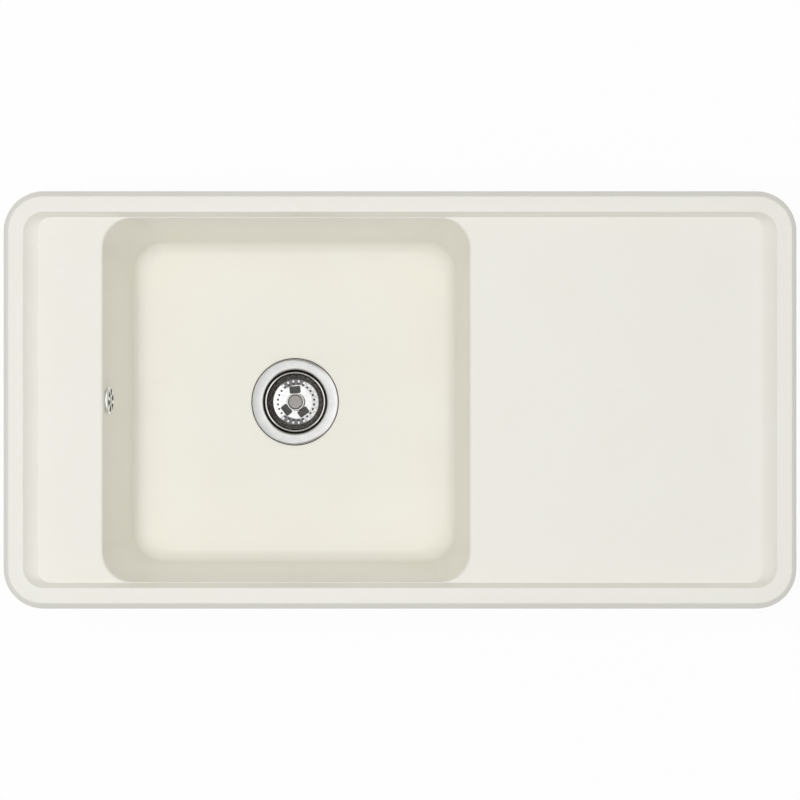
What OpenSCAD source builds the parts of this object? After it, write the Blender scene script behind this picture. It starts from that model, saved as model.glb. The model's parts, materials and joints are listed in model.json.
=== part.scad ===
// Inset kitchen sink with one bowl, a shelf on its left and a drainer on its right,
// moulded in a cream composite, with its basket waste, overflow and fixing clips.
// Lengths are in millimetres. X runs along the sink to the drainer, Y to the back and
// Z up. The origin is at the middle of the rim, on the surface that the rim rests on.

/* [Outline] */
// Length of the rim, left to right
sink_w = 950; // [900:5:1100]
// Width of the rim, front to back
sink_d = 500; // [460:5:560]
// Radius of the rim's corners, seen from above
corner_r = 48; // [42:1:70]
// Thickness of the moulded wall
wall = 8; // [6:0.5:10]

/* [Rim] */
// Height of the rim's top above the worktop
rim_top = 11.5; // [8.5:0.5:14]
// Width of the rim's bevelled outer edge
edge_r = 7.5; // [4:0.5:8]
// Width of the flat rim at the two ends
rim_end_w = 15.2; // [12:0.1:24]
// Width of the flat rim along the front and the back
rim_long_w = 17; // [15:0.1:22]
// Width of the hollow slope at the two ends
cove_end_w = 17.3; // [10:0.1:24]
// Width of the hollow slope along the front and the back
cove_long_w = 6; // [5:0.1:12]
// Thickness of the seal under the rim
seal_t = 2; // [1:0.5:2.5]
// Width of the seal under the rim
seal_w = 8; // [5:0.5:9]
// Distance from the rim's outline to the seal
seal_inset = 3; // [2:0.5:4]
// Distance from the rim's outline to the body's skirt, inside the worktop's cut-out
skirt_inset = 13; // [13:0.5:16]

/* [Tray] */
// Depth of the tray below the rim's top, beside the bowl
tray_drop = 13.5; // [8:0.5:15]
// Rise of the drainer from the bowl to its right end
drainer_rise = 2.5; // [1:0.5:5]
// Rise of the shelf from the bowl to its left end
shelf_rise = 0; // [0:0.5:4]

/* [Bowl] */
// Width of the bowl's mouth, left to right
bowl_w = 448; // [380:1:460]
// Width of the shelf, from the slope at the left end to the bowl's mouth
shelf_w = 74; // [60:1:100]
// Flat ledge between the hollow slope and the mouth, at the front and the back
bowl_ledge = 0.2; // [0.1:0.1:2]
// Depth of the bowl, from the rim's top to its floor at the waste
bowl_depth = 201.5; // [160:0.5:220]
// Rounding of the edge between the tray and the bowl's wall
lip_r = 4; // [3:0.5:8]
// Width of that edge along the bowl's front and back
long_lip_w = 1; // [0.5:0.5:3]
// Lean of the bowl's walls from the vertical, in degrees
draft = 3.5; // [3:0.5:8]
// Radius of the mouth's corners, seen from above
mouth_corner_r = 36; // [25:1:50]
// Radius of the floor's corners, seen from above
floor_corner_r = 42; // [30:1:60]
// Radius between the walls and the floor
floor_fillet = 16; // [12:1:40]
// Thickness of the floor beside the walls
floor_t = 11; // [10:0.5:14]
// Fall of the floor to the waste
floor_fall = 2; // [0.5:0.5:3]

/* [Strainer dish] */
// Width of the polished flange, from the throat to its edge
flange_w = 14.5; // [13:0.5:18]
// Thickness of the flange's rolled edge
flange_t = 1.2; // [0.8:0.1:1.5]
// Height of the flange's top above the floor
flange_proud = 0.5; // [0.2:0.1:1]
// Inside diameter of the throat
throat_d = 83; // [81:0.5:84]
// Depth of the throat, before the dish narrows
throat_h = 14; // [12:0.5:16]
// Depth of the dish, from the flange's top to its floor
dish_h = 40; // [40:0.5:46]
// Inside diameter of the dish's floor
dish_floor_d = 68; // [64:0.5:72]
// Thickness of the pressed sheet
sheet_t = 1; // [0.8:0.1:1.2]
// Number of water holes in the dish's floor
water_holes = 8; // [5:1:9]
// Diameter of a water hole
water_hole_d = 12; // [8:0.5:12]
// Diameter of the circle that the water holes lie on
water_circle_d = 44; // [40:1:46]
// Thickness of the ring under the flange
flange_gasket_t = 1.3; // [1:0.1:2]
// Width of the rings above and below the bowl's floor
gasket_w = 9; // [6:0.5:9]
// Play between the throat and the hole in the bowl's floor
hole_play = 2.5; // [1:0.5:3]

/* [Waste housing] */
// Thickness of the ring under the bowl
waste_gasket_t = 3; // [2:0.5:4]
// Thickness of the housing's flange
housing_flange_t = 4; // [3:0.5:6]
// Thickness of the housing's wall
housing_wall = 3; // [2.5:0.5:4]
// Gap between the dish and the housing
housing_gap = 2; // [1.5:0.5:3]
// Height of the housing's chamber, below the dish
chamber_h = 24; // [24:1:32]
// Outside diameter of the outlet's thread
outlet_d = 47.8; // [46:0.1:50]
// Bore of the outlet
outlet_bore = 40; // [36:0.5:42]
// Length of the outlet
outlet_h = 28; // [24:1:40]
// Diameter of the hub in the outlet
hub_d = 16; // [15:0.5:20]
// Height of the hub
hub_h = 18; // [16:1:22]
// Thickness of the spider's arms
spider_t = 2.5; // [2:0.5:4]

/* [Centre bolt] */
// Diameter of the bolt's shank
bolt_d = 6; // [5:0.5:8]
// Diameter of the bolt's head
bolt_head_d = 15; // [12:0.5:18]
// Thickness of the bolt's head
bolt_head_h = 3; // [2:0.5:3]
// Diameter of the stud on the bolt's head
stud_d = 6; // [5:0.5:7]
// Thickness of the post over its socket
socket_roof = 1.6; // [1:0.1:3]
// Outside diameter of the brass insert in the hub
bolt_insert_d = 10; // [9:0.5:12]

/* [Basket] */
// Diameter of the basket over its rolled rim
basket_d = 78.6; // [76:0.2:79]
// Diameter of the rolled rim's bead
bead_d = 2.2; // [1.6:0.1:2.6]
// Inside diameter of the basket's floor
basket_floor_d = 60; // [56:0.5:62]
// Depth of the basket, from its rim to its floor
basket_h = 21; // [18:0.5:22]
// Depth of the basket's rim below the flange's top
basket_drop = 3; // [2:0.5:4]
// Thickness of the basket's sheet
basket_t = 0.8; // [0.6:0.1:1]
// Number of small holes in the basket's floor
basket_holes = 24; // [16:1:34]
// Diameter of a small hole
basket_hole_d = 2.7; // [2:0.1:3]
// Diameter of the circle that the small holes lie on
basket_circle_d = 48; // [47:0.5:52]
// Width of a window
window_w = 13.5; // [8:0.5:14]
// Length of a window, out from the knob
window_l = 9; // [6:0.5:9]
// Diameter of the knob
knob_d = 23; // [20:0.5:24]
// Diameter of the knob's brushed top
knob_top_d = 19; // [15:0.5:19]
// Height of the knob above the basket's floor
knob_h = 16; // [12:0.5:18]
// Diameter of the knob's neck
neck_d = 11; // [9:0.5:13]
// Diameter of the post
stem_d = 7; // [5:0.5:8]
// Diameter of the post's foot
foot_d = 13; // [12:0.5:14]
// Thickness of the rubber plug in the middle
plug_t = 3.4; // [3:0.1:4]
// Diameter of the rubber plug in the middle
plug_hub_d = 26; // [24:0.5:30]
// Thickness of the washer under the rubber plug
washer_t = 1.2; // [1:0.1:1.5]
// Travel of the basket, from its plugged place to clear of the flange
basket_travel = 50; // [40:1:60]

/* [Overflow] */
// Gap between the round under the tray and the elbow's flange
overflow_gap = 0.6; // [0.4:0.1:12]
// Diameter of the overflow hole
overflow_hole_d = 26; // [24:0.5:27]
// Diameter of the bright cover
cover_d = 36; // [31:0.5:36]
// Height of the bright cover
cover_h = 3.6; // [3.2:0.1:5]
// Number of slots in the cover
cover_slots = 6; // [4:1:8]
// Thickness of the ring behind the wall
overflow_gasket_t = 2.5; // [1.5:0.5:3]
// Diameter of the elbow's flange
elbow_flange_d = 35; // [34.5:0.5:44]
// Thickness of the elbow's flange
elbow_flange_t = 3; // [2:0.5:4]
// Outside diameter of the elbow's chamber
elbow_d = 33; // [32:0.5:34]
// Wall of the elbow
elbow_wall = 2.5; // [2:0.5:3]
// Diameter of the cover's screw
cover_screw_d = 5; // [4:0.5:5]
// Outside diameter of the brass insert behind the cover
overflow_insert_d = 7.2; // [6.8:0.1:8]

/* [Overflow pipe] */
// Outside diameter of the pipe
pipe_d = 22; // [20:0.5:23]
// Wall of the pipe
pipe_wall = 2; // [1.5:0.1:2.5]
// Radius of the pipe's bend
bend_r = 45; // [40:1:60]
// Outside diameter of the threaded spigots
spigot_d = 28; // [27.5:0.5:30]
// Length of the threaded spigots
spigot_l = 26; // [24:1:30]
// Depth of the sockets that the pipe stands in
socket_l = 16; // [10:1:18]
// Diameter of the union nuts
nut_d = 35; // [33:0.5:36]
// Length of the union nuts
nut_l = 20; // [16:1:22]
// Length of the rubber compression rings
ring_l = 4; // [3:0.5:5]
// Gap between the upper nut and the bowl's wall
nut_gap = 3; // [2.5:0.5:5]

/* [Clips] */
// Distance from the rim's outline to a clip's screw
clip_inset = 36; // [34:1:38]
// Distance from the bowl's mouth to the first clip beside it
clip_bowl_gap = 55; // [52:1:80]
// Distance from the rim's right end to the next clip
clip_end_gap = 145; // [110:1:160]
// Distance from the middle to the two clips at the right end
clip_end_y = 110; // [60:5:140]
// Diameter of the bosses under the tray
boss_d = 20; // [16:0.5:24]
// Height of the bosses below the tray's underside
boss_h = 14; // [13:0.5:18]
// Outside diameter of the brass inserts
insert_d = 7.2; // [6.8:0.1:9]
// Height of the brass inserts
insert_h = 12; // [8:0.5:12]
// Diameter of the screws
screw_d = 5; // [4:0.5:6]
// Distance across the corners of a screw's head
screw_head_d = 10; // [8:0.5:12]
// Height of a screw's head
screw_head_h = 4; // [3:0.5:5]
// Depth of a parked claw below the worktop's surface
claw_depth = 54; // [50:1:64]
// Reach of a claw, from its screw to its toe
claw_reach = 34; // [30:1:36]
// Length of a claw behind its screw
claw_heel = 12; // [10:1:16]
// Width of a claw
claw_w = 16; // [14:0.5:20]
// Thickness of a claw's sheet
claw_t = 1.5; // [1:0.1:2]
// Height of a claw's toe and heel
claw_toe_h = 12; // [8:0.5:12]
// Height of a claw's side flanges
claw_side_h = 5; // [3:0.5:6]

/* [Fits] */
// Clearance round a pin that turns or slides in a bore
pin_gap = 0.08; // [0.05:0.01:0.1]
// Gap between a moving piece and what it rests on
rest_gap = 0.2; // [0.1:0.05:0.4]
// Clearance round a piece that stands loosely in a hole
loose_gap = 0.5; // [0.3:0.1:1]

/* [Hidden] */
$fn = 64;

// Small lengths that let cuts run past the faces they cut
cut = 1;
face_gap = 0.05;

// Numbers of steps along the body's rounded stretches
corner_n = 9;
fillet_n = 5;
lip_n = 3;
cove_n = 5;

// Colours
cream = [0.925, 0.918, 0.875];
steel = [0.80, 0.81, 0.82];
dark_steel = [0.60, 0.61, 0.63];
brass = [0.80, 0.66, 0.36];
black = [0.12, 0.12, 0.12];
white_plastic = [0.90, 0.90, 0.89];
grey_rubber = [0.25, 0.25, 0.26];

// Places of the tray and the bowl
tray_z = rim_top - tray_drop;
crest_end_inset = edge_r + rim_end_w;
crest_long_inset = edge_r + rim_long_w;
foot_end_inset = crest_end_inset + cove_end_w;
foot_long_inset = crest_long_inset + cove_long_w;
foot_x = sink_w / 2 - foot_end_inset;
bowl_x = foot_end_inset + shelf_w + bowl_w / 2 - sink_w / 2;
lip_over = (lip_r - long_lip_w) * cos(draft);
bowl_d = sink_d - 2 * (foot_long_inset + bowl_ledge - lip_over);
mouth_x1 = bowl_x - bowl_w / 2;
mouth_x2 = bowl_x + bowl_w / 2;
drain_z = rim_top - bowl_depth;
foot_z = drain_z + floor_fall;
under_z = foot_z - floor_t;
skirt_round = 2;
root_round = 3;
edge_break = 0.8;

// Inset of the bowl's inner wall from the mouth, at a height z
lip_z = tray_z - lip_r * (1 - sin(draft));
function wall_inset(z) = lip_r * cos(draft) + (lip_z - z) * tan(draft);
// Inset of the bowl's outer wall from the mouth
function outer_inset(z) = wall_inset(z) - wall / cos(draft);

// Middle of the round between the wall and the floor
fillet_top_z = foot_z + floor_fillet * (1 - sin(draft));
fillet_inset = wall_inset(fillet_top_z) + floor_fillet * cos(draft);

// Rise of the tray above its height beside the bowl
function rise(x) =
    x > mouth_x2 ? drainer_rise * (x - mouth_x2) / (foot_x - mouth_x2) :
    x < mouth_x1 ? shelf_rise * (mouth_x1 - x) / (mouth_x1 + foot_x) : 0;

// A quarter circle of points round x, y, from the angle a
function quarter(x, y, r, a) =
    [for (k = [0:corner_n]) let (b = a + 90 * k / corner_n) [x + r * cos(b), y + r * sin(b)]];

// One loop of the body's skin: a rectangle with round corners, anticlockwise seen
// from above, with half sizes hx and hy. Its front and back have extra points at xs.
// Its height is z, and w is the share of the tray's rise that it takes.
function loop(cx, hx, hy, r, xs, z, w) = [
    for (p = concat(
        quarter(cx + hx - r, hy - r, r, 0), [[xs[1], hy], [xs[0], hy]],
        quarter(cx - hx + r, hy - r, r, 90),
        quarter(cx - hx + r, r - hy, r, 180), [[xs[0], -hy], [xs[1], -hy]],
        quarter(cx + hx - r, r - hy, r, 270)))
    [p[0], p[1], z + w * rise(p[0])]
];

// A loop inset from the rim's outline by ix at the ends and iy at the front and back
function rim_loop(ix, iy, z, w) =
    loop(0, sink_w / 2 - ix, sink_d / 2 - iy, corner_r - (ix + iy) / 2, [mouth_x1, mouth_x2], z, w);

// A loop inset from the bowl's mouth, whose corners grow with depth
function bowl_loop(inset, z, out) =
    let (
        share = max(0, (tray_z - z) / (tray_z - foot_z)),
        r = mouth_corner_r + (floor_corner_r - mouth_corner_r) * share + out,
        hx = bowl_w / 2 - inset,
        reach = 0.8 * (hx - r))
    loop(bowl_x, hx, bowl_d / 2 - inset, r, [bowl_x - reach, bowl_x + reach], z, 0);

// A loop of the mouth's round edge where it leans by a. The edge is narrower along the
// front and back, where it meets the slope.
function lip_loop(a) =
    let (
        hx = bowl_w / 2 - lip_r * sin(a),
        hy = bowl_d / 2 - lip_over - long_lip_w * sin(a),
        reach = 0.8 * (hx - mouth_corner_r))
    loop(bowl_x, hx, hy, mouth_corner_r, [bowl_x - reach, bowl_x + reach],
        tray_z - lip_r * (1 - cos(a)), 0);

// The slope from the tray to the rim: shares of its width and of its height. Its foot
// has this share of its mean steepness.
cove_foot = 0.7;
cove = [for (k = [0:cove_n]) let (f = k / cove_n) [f, cove_foot * f + (1 - cove_foot) * f * f]];

// The rim's bevelled edge, from the top out and down: shares of its size
edge_foot = edge_break + 0.2;
edge_h = rim_top - seal_t - edge_foot;
edge = [[1, 0], [0.9, 0.04], [0.06, 0.94], [0, 1]];

throat_r = throat_d / 2;
flange_r = throat_r + flange_w;
drain_hole_r = throat_r + sheet_t + hole_play;
gasket_in_r = drain_hole_r + loose_gap;
gasket_out_r = gasket_in_r + gasket_w;
seat_r = flange_r + loose_gap;
sump_half = seat_r + 8;

body_loops = concat(
    // the floor, falling to the waste's seat
    [loop(bowl_x, sump_half, sump_half, sump_half - 5, [bowl_x - 3, bowl_x + 3], drain_z, 0)],
    // the round between floor and wall
    [for (k = [0:fillet_n]) let (a = (90 - draft) * k / fillet_n)
        bowl_loop(fillet_inset - floor_fillet * sin(a), foot_z + floor_fillet * (1 - cos(a)), 0)],
    // the wall's upper edge
    [for (k = [0:lip_n]) let (a = (90 - draft) * (1 - k / lip_n))
        lip_loop(a)],
    // the hollow slope, straight along the front and back
    [for (p = cove) rim_loop(foot_end_inset - p[0] * cove_end_w, foot_long_inset - p[1] * cove_long_w,
        (1 - p[1]) * tray_z + p[1] * rim_top, 1 - p[1])],
    // the rim's outer edge
    [for (p = edge) rim_loop(edge_r * p[0], edge_r * p[0], rim_top - edge_h * p[1], 0)],
    // the underside of the rim and the skirt
    [rim_loop(0, 0, seal_t + edge_break, 0), rim_loop(edge_break, edge_break, seal_t, 0),
        rim_loop(skirt_inset, skirt_inset, seal_t, 0),
        rim_loop(skirt_inset + skirt_round, skirt_inset + skirt_round, tray_z - wall + skirt_round, 1),
        rim_loop(skirt_inset + 2 * skirt_round, skirt_inset + 2 * skirt_round, tray_z - wall, 1)],
    // the underside of the tray and the outside of the bowl
    [bowl_loop(outer_inset(tray_z - wall) - root_round, tray_z - wall, wall),
        bowl_loop(outer_inset(tray_z - wall - root_round), tray_z - wall - root_round, wall)],
    [for (k = [0:fillet_n]) let (a = (90 - draft) * (1 - k / fillet_n))
        bowl_loop(fillet_inset - (floor_fillet + wall) * sin(a),
            foot_z + floor_fillet - (floor_fillet + floor_t) * cos(a), wall)]);

// A closed skin through loops of equally many points
module lofted(loops) {
    n = len(loops[0]);
    last = len(loops) - 1;
    polyhedron(
        points = [for (l = loops) each l],
        faces = concat(
            [[for (j = [n - 1:-1:0]) j]],
            [for (i = [0:last - 1], j = [0:n - 1]) let (a = i * n + j, b = i * n + (j + 1) % n)
                each [[a, b, b + n], [a, b + n, a + n]]],
            [[for (j = [0:n - 1]) last * n + j]]));
}

// A flat rectangle with round corners
module rounded(w, d, r) {
    square([w - 2 * r, d], center = true);
    square([w, d - 2 * r], center = true);
    for (x = [-1, 1], y = [-1, 1])
        translate([x * (w / 2 - r), y * (d / 2 - r)]) circle(r);
}

// A tube from z1 to z2
module tube(r_out, r_in, z1, z2) {
    translate([0, 0, z1]) linear_extrude(z2 - z1) difference() {
        circle(r_out);
        circle(r_in);
    }
}

module rod(r, z1, z2) {
    translate([0, 0, z1]) cylinder(r = r, h = z2 - z1);
}

// The waste's own frame: its axis through the floor's lowest height
module at_drain() {
    translate([bowl_x, 0, drain_z]) children();
}

// Places of the clips: the screw's x and y, and the turn that parks the claw
shelf_clip_x = (skirt_inset - sink_w / 2 + mouth_x1 - wall) / 2;
clip_y = sink_d / 2 - clip_inset;
clip_x = sink_w / 2 - clip_inset;
middle_clip_x = mouth_x2 + clip_bowl_gap;
right_clip_x = sink_w / 2 - clip_end_gap;
front_left = [shelf_clip_x, -clip_y, 180];
front_middle = [middle_clip_x, -clip_y, 180];
front_right = [right_clip_x, -clip_y, 180];
back_left = [shelf_clip_x, clip_y, 0];
back_middle = [middle_clip_x, clip_y, 0];
back_right = [right_clip_x, clip_y, 0];
end_front = [clip_x, -clip_end_y, 270];
end_back = [clip_x, clip_end_y, 270];
clips = [front_left, front_middle, front_right, back_left, back_middle, back_right, end_front, end_back];

boss_z = tray_z - wall - boss_h;
insert_top = boss_z + insert_h;
screw_head_z = -claw_depth - rest_gap;

// Heights in the waste's frame
dish_top = flange_proud;
dish_floor = dish_top - dish_h;
dish_under = dish_floor - sheet_t;
seat_z = flange_proud - flange_t - flange_gasket_t;
bowl_under = under_z - drain_z;
housing_top = bowl_under - waste_gasket_t;
chamber_floor = dish_under - chamber_h;
outlet_end = chamber_floor - outlet_h;
inlet_z = dish_under - chamber_h / 2;
dish_floor_r = dish_floor_d / 2;
housing_throat_r = throat_r + sheet_t + housing_gap;
housing_flange_r = gasket_out_r + 2;
chamber_r = dish_floor_r + sheet_t + housing_gap;
bolt_hole_r = bolt_d / 2 + 0.2;
hub_top = chamber_floor + 4;
hub_low = hub_top - hub_h;

// Radius of the dish's narrowing wall, inside, at a height z
function dish_r(z) =
    dish_floor_r + (throat_r - dish_floor_r) * (z - dish_floor) / (dish_h - throat_h);

// Heights of the basket's pieces in the waste's frame, plugged
basket_rim = dish_top - basket_drop;
basket_floor = basket_rim - basket_h;
basket_under = basket_floor - basket_t;
plug_low = basket_under - plug_t;
washer_low = plug_low - washer_t;
socket_top = washer_low - socket_roof;
stud_top = socket_top - 0.5;
foot_low = dish_floor + bolt_head_h + rest_gap;
knob_top = basket_floor + knob_h;
plug_edge_z = plug_low - 1.6;
plug_edge_t = 2.4;
basket_rim_r = basket_d / 2 - bead_d / 2;
basket_floor_r = basket_floor_d / 2;
window_turns = [95, 219, 306];

// The overflow's own frame: on the bowl's inner wall, with Z into the bowl and X
// down along the wall
overflow_z = tray_z - wall - root_round - overflow_gap - elbow_flange_d / 2;
overflow_x = mouth_x1 + wall_inset(overflow_z);
module at_overflow() {
    translate([overflow_x, 0, overflow_z]) rotate([0, 90 - draft, 0]) children();
}
elbow_face = -wall - overflow_gasket_t;
elbow_axis = wall + nut_d / 2 + nut_gap;
elbow_back = elbow_axis + spigot_d / 2 + elbow_wall;
elbow_end = elbow_d / 2 + spigot_l - 1;
overflow_boss_top = -wall - 6;

// The pipe lies in the plane of the two spigots. Points are x and z.
socket_gap = 2;
pipe_r = pipe_d / 2;
passage_r = pipe_r - pipe_wall;
upper_end = [
    overflow_x + elbow_end * sin(draft) - elbow_axis * cos(draft),
    overflow_z - elbow_end * cos(draft) - elbow_axis * sin(draft)
];
lower_end = [bowl_x - chamber_r - housing_wall - spigot_l, drain_z + inlet_z];
bend_top_z = lower_end[1] + bend_r * (1 - sin(draft));
upper_run = (upper_end[1] - bend_top_z) / cos(draft);
bend_top = [upper_end[0] + upper_run * sin(draft), bend_top_z];
bend_middle = bend_top + bend_r * [cos(draft), sin(draft)];
lower_run = lower_end[0] - bend_middle[0];
pipe_in = socket_l - socket_gap;
collar_t = 1;
collar_l = 4;
bend_step = 0.2;

// The frames of the two spigots, with Z out of the spigot and zero at its end
module at_upper_spigot() {
    translate([upper_end[0], 0, upper_end[1]]) rotate([0, 180 - draft, 0]) children();
}
module at_lower_spigot() {
    translate([lower_end[0], 0, lower_end[1]]) rotate([0, -90, 0]) children();
}

// The moulded body
module sink_body() {
    color(cream) difference() {
        union() {
            lofted(body_loops);
            for (c = clips) translate([c[0], c[1], 0]) rod(boss_d / 2, boss_z, tray_z - wall / 2);
        }
        at_drain() rod(seat_r, seat_z, flange_proud + floor_fall + cut);
        at_drain() rod(drain_hole_r, bowl_under - cut, seat_z + cut);
        at_overflow() rod(overflow_hole_d / 2, -wall - lip_r, lip_r);
        for (c = clips) translate([c[0], c[1], 0]) rod(insert_d / 2, boss_z - cut, insert_top);
    }
}

// The foam strip that the rim rests on
module rim_seal() {
    color(grey_rubber) linear_extrude(seal_t) difference() {
        rounded(sink_w - 2 * seal_inset, sink_d - 2 * seal_inset, corner_r - seal_inset);
        rounded(sink_w - 2 * (seal_inset + seal_w), sink_d - 2 * (seal_inset + seal_w),
            corner_r - seal_inset - seal_w);
    }
}

module clip_inserts() {
    color(brass) for (c = clips) translate([c[0], c[1], 0])
        tube(insert_d / 2, screw_d / 2, boss_z, insert_top);
}

// Hexagon screws, each up in its insert
module clip_screws() {
    color(dark_steel) for (c = clips) translate([c[0], c[1], 0]) {
        rod(screw_d / 2, screw_head_z, insert_top - cut);
        translate([0, 0, screw_head_z - screw_head_h]) cylinder(d = screw_head_d, h = screw_head_h, $fn = 6);
    }
}

// A claw on its screw, pointing along X: a pressed channel with a toothed toe
module claw(place) {
    color(steel) translate([place[0], place[1], -claw_depth]) rotate([0, 0, place[2]]) difference() {
        union() {
            translate([-claw_heel, -claw_w / 2, 0]) cube([claw_heel + claw_reach, claw_w, claw_t]);
            translate([claw_reach - claw_t, -claw_w / 2, 0]) cube([claw_t, claw_w, claw_toe_h]);
            translate([-claw_heel, -claw_w / 2, 0]) cube([claw_t, claw_w, claw_toe_h]);
            for (y = [-claw_w / 2, claw_w / 2 - claw_t])
                translate([-claw_heel, y, 0]) cube([claw_heel + claw_reach, claw_t, claw_side_h]);
        }
        rod(screw_d / 2 + pin_gap, -cut, claw_t + cut);
        for (y = [-1, 1]) translate([claw_reach - claw_t / 2, y * claw_w / 4, claw_toe_h])
            rotate([0, 90, 0]) cylinder(r = claw_w / 12, h = claw_t + cut, center = true);
    }
}

module claw_front_left() { claw(front_left); }
module claw_front_middle() { claw(front_middle); }
module claw_front_right() { claw(front_right); }
module claw_back_left() { claw(back_left); }
module claw_back_middle() { claw(back_middle); }
module claw_back_right() { claw(back_right); }
module claw_end_front() { claw(end_front); }
module claw_end_back() { claw(end_back); }

// The pressed flange, throat and dish
module strainer_dish() {
    color(steel) at_drain() difference() {
        rotate_extrude() polygon([
            [flange_r, dish_top - flange_t], [flange_r, dish_top - flange_t / 2],
            [flange_r - flange_t / 2, dish_top], [throat_r + 2, dish_top],
            [throat_r + 0.6, dish_top - 0.6], [throat_r, dish_top - 2],
            [throat_r, dish_top - throat_h], [dish_floor_r, dish_floor],
            [bolt_hole_r, dish_floor], [bolt_hole_r, dish_under],
            [dish_floor_r + sheet_t / 2, dish_under], [throat_r + sheet_t, dish_top - throat_h - sheet_t / 2],
            [throat_r + sheet_t, dish_top - flange_t]
        ]);
        for (k = [0:water_holes - 1]) rotate([0, 0, 360 * k / water_holes])
            translate([water_circle_d / 2, 0, 0]) rod(water_hole_d / 2, dish_under - cut, dish_floor + cut);
    }
}

module flange_gasket() {
    color(black) at_drain()
        tube(gasket_out_r, gasket_in_r, seat_z, seat_z + flange_gasket_t);
}

module waste_gasket() {
    color(black) at_drain()
        tube(gasket_out_r, gasket_in_r, housing_top, bowl_under);
}

// A threaded spigot with its end at zero, and the passage through it
module spigot() {
    rod(spigot_d / 2, -spigot_l - elbow_wall, 0);
}
module spigot_way() {
    rod(pipe_r + rest_gap, -socket_l, cut);
    rod(passage_r, -spigot_l - 2 * elbow_wall - cut, cut);
}

// The cup under the bowl, with its overflow inlet, its outlet and the spider in it
module waste_housing() {
    color(white_plastic) union() {
        difference() {
            union() {
                at_drain() rotate_extrude() polygon([
                    [0, housing_top], [housing_flange_r, housing_top],
                    [housing_flange_r, housing_top - housing_flange_t],
                    [housing_throat_r + housing_wall, housing_top - housing_flange_t],
                    [housing_throat_r + housing_wall, dish_top - throat_h - housing_wall],
                    [chamber_r + housing_wall, dish_under],
                    [chamber_r + housing_wall, chamber_floor - housing_wall / 2],
                    [chamber_r, chamber_floor - housing_wall],
                    [outlet_d / 2, chamber_floor - housing_wall], [outlet_d / 2, outlet_end],
                    [0, outlet_end]
                ]);
                at_lower_spigot() spigot();
            }
            at_drain() rotate_extrude() polygon([
                [0, housing_top + cut], [housing_throat_r, housing_top + cut],
                [housing_throat_r, dish_top - throat_h], [chamber_r, dish_under],
                [chamber_r, chamber_floor + 2], [chamber_r - 2, chamber_floor],
                [outlet_bore / 2, chamber_floor],
                [outlet_bore / 2, outlet_end - cut], [0, outlet_end - cut]
            ]);
            at_lower_spigot() spigot_way();
        }
        at_drain() difference() {
            union() {
                rod(hub_d / 2, hub_low, hub_top);
                for (a = [30, 150, 270]) rotate([0, 0, a]) translate([0, -spider_t / 2, hub_low])
                    cube([outlet_bore / 2 + 1, spider_t, chamber_floor - hub_low]);
            }
            rod(bolt_insert_d / 2, hub_low - cut, hub_top + cut);
        }
    }
}

module bolt_insert() {
    color(brass) at_drain() tube(bolt_insert_d / 2, bolt_d / 2, hub_low, hub_top);
}

// The bolt from the dish's floor to the insert, with the stud that the basket clips on
module centre_bolt() {
    color(steel) at_drain() rotate_extrude() polygon([
        [0, hub_low + cut], [bolt_d / 2, hub_low + cut], [bolt_d / 2, dish_floor],
        [bolt_head_d / 2, dish_floor], [bolt_head_d / 2, dish_floor + bolt_head_h - 0.5],
        [bolt_head_d / 2 - 0.5, dish_floor + bolt_head_h], [stud_d / 2, dish_floor + bolt_head_h],
        [stud_d / 2, stud_top - 0.8], [stud_d / 2 - 0.8, stud_top], [0, stud_top]
    ]);
}

// The pressed basket with its rolled rim, its small holes and its windows
module basket_cup() {
    color(steel) at_drain() difference() {
        union() {
            rotate_extrude() translate([basket_rim_r, basket_rim - bead_d / 2]) circle(bead_d / 2);
            rotate_extrude() polygon([
                [basket_rim_r - basket_t / 2, basket_rim - 0.6 * bead_d],
                [basket_rim_r + basket_t / 2, basket_rim - 0.6 * bead_d],
                [basket_rim_r + basket_t / 2, basket_rim - 1.2 * bead_d],
                [basket_floor_r + 2.4, basket_floor + 2], [basket_floor_r, basket_under],
                [stem_d / 2, basket_under], [stem_d / 2, basket_floor],
                [basket_floor_r - 0.5, basket_floor], [basket_floor_r + 1.5, basket_floor + 2.2],
                [basket_rim_r - basket_t / 2, basket_rim - 1.2 * bead_d]
            ]);
        }
        for (k = [0:basket_holes - 1]) rotate([0, 0, 360 * (k + 0.5) / basket_holes])
            translate([basket_circle_d / 2, 0, 0]) rod(basket_hole_d / 2, basket_under - cut, basket_floor + cut);
        for (a = window_turns) rotate([0, 0, a])
            translate([knob_d / 2 + window_l / 2 + 0.5, 0, basket_under - cut])
                linear_extrude(basket_t + 2 * cut) rounded(window_l, window_w, 2);
    }
}

module basket_knob() {
    color(steel) at_drain() rotate_extrude() polygon([
        [0, knob_top - knob_h + 2], [stem_d / 2, knob_top - knob_h + 2], [stem_d / 2, basket_floor],
        [neck_d / 2, basket_floor], [neck_d / 2, knob_top - 6.5], [knob_d / 2 - 1, knob_top - 5.5],
        [knob_d / 2, knob_top - 4.5], [knob_d / 2, knob_top - 2.2], [knob_d / 2 - 0.8, knob_top - 1.4],
        [knob_top_d / 2 + 0.6, knob_top - 1.4], [knob_top_d / 2, knob_top - 0.5],
        [knob_top_d / 2 - 0.5, knob_top], [0, knob_top]
    ]);
}

// The post up from its foot, with the socket that stands over the bolt's stud
module basket_stem() {
    clip_r = stud_d / 2 + pin_gap + clip_sheet;
    color(dark_steel) at_drain() rotate_extrude() polygon([
        [0, socket_top], [clip_r, socket_top], [clip_r, foot_low], [foot_d / 2, foot_low],
        [foot_d / 2, washer_low], [stem_d / 2, washer_low], [stem_d / 2, knob_top - knob_h + 2],
        [0, knob_top - knob_h + 2]
    ]);
}

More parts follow.
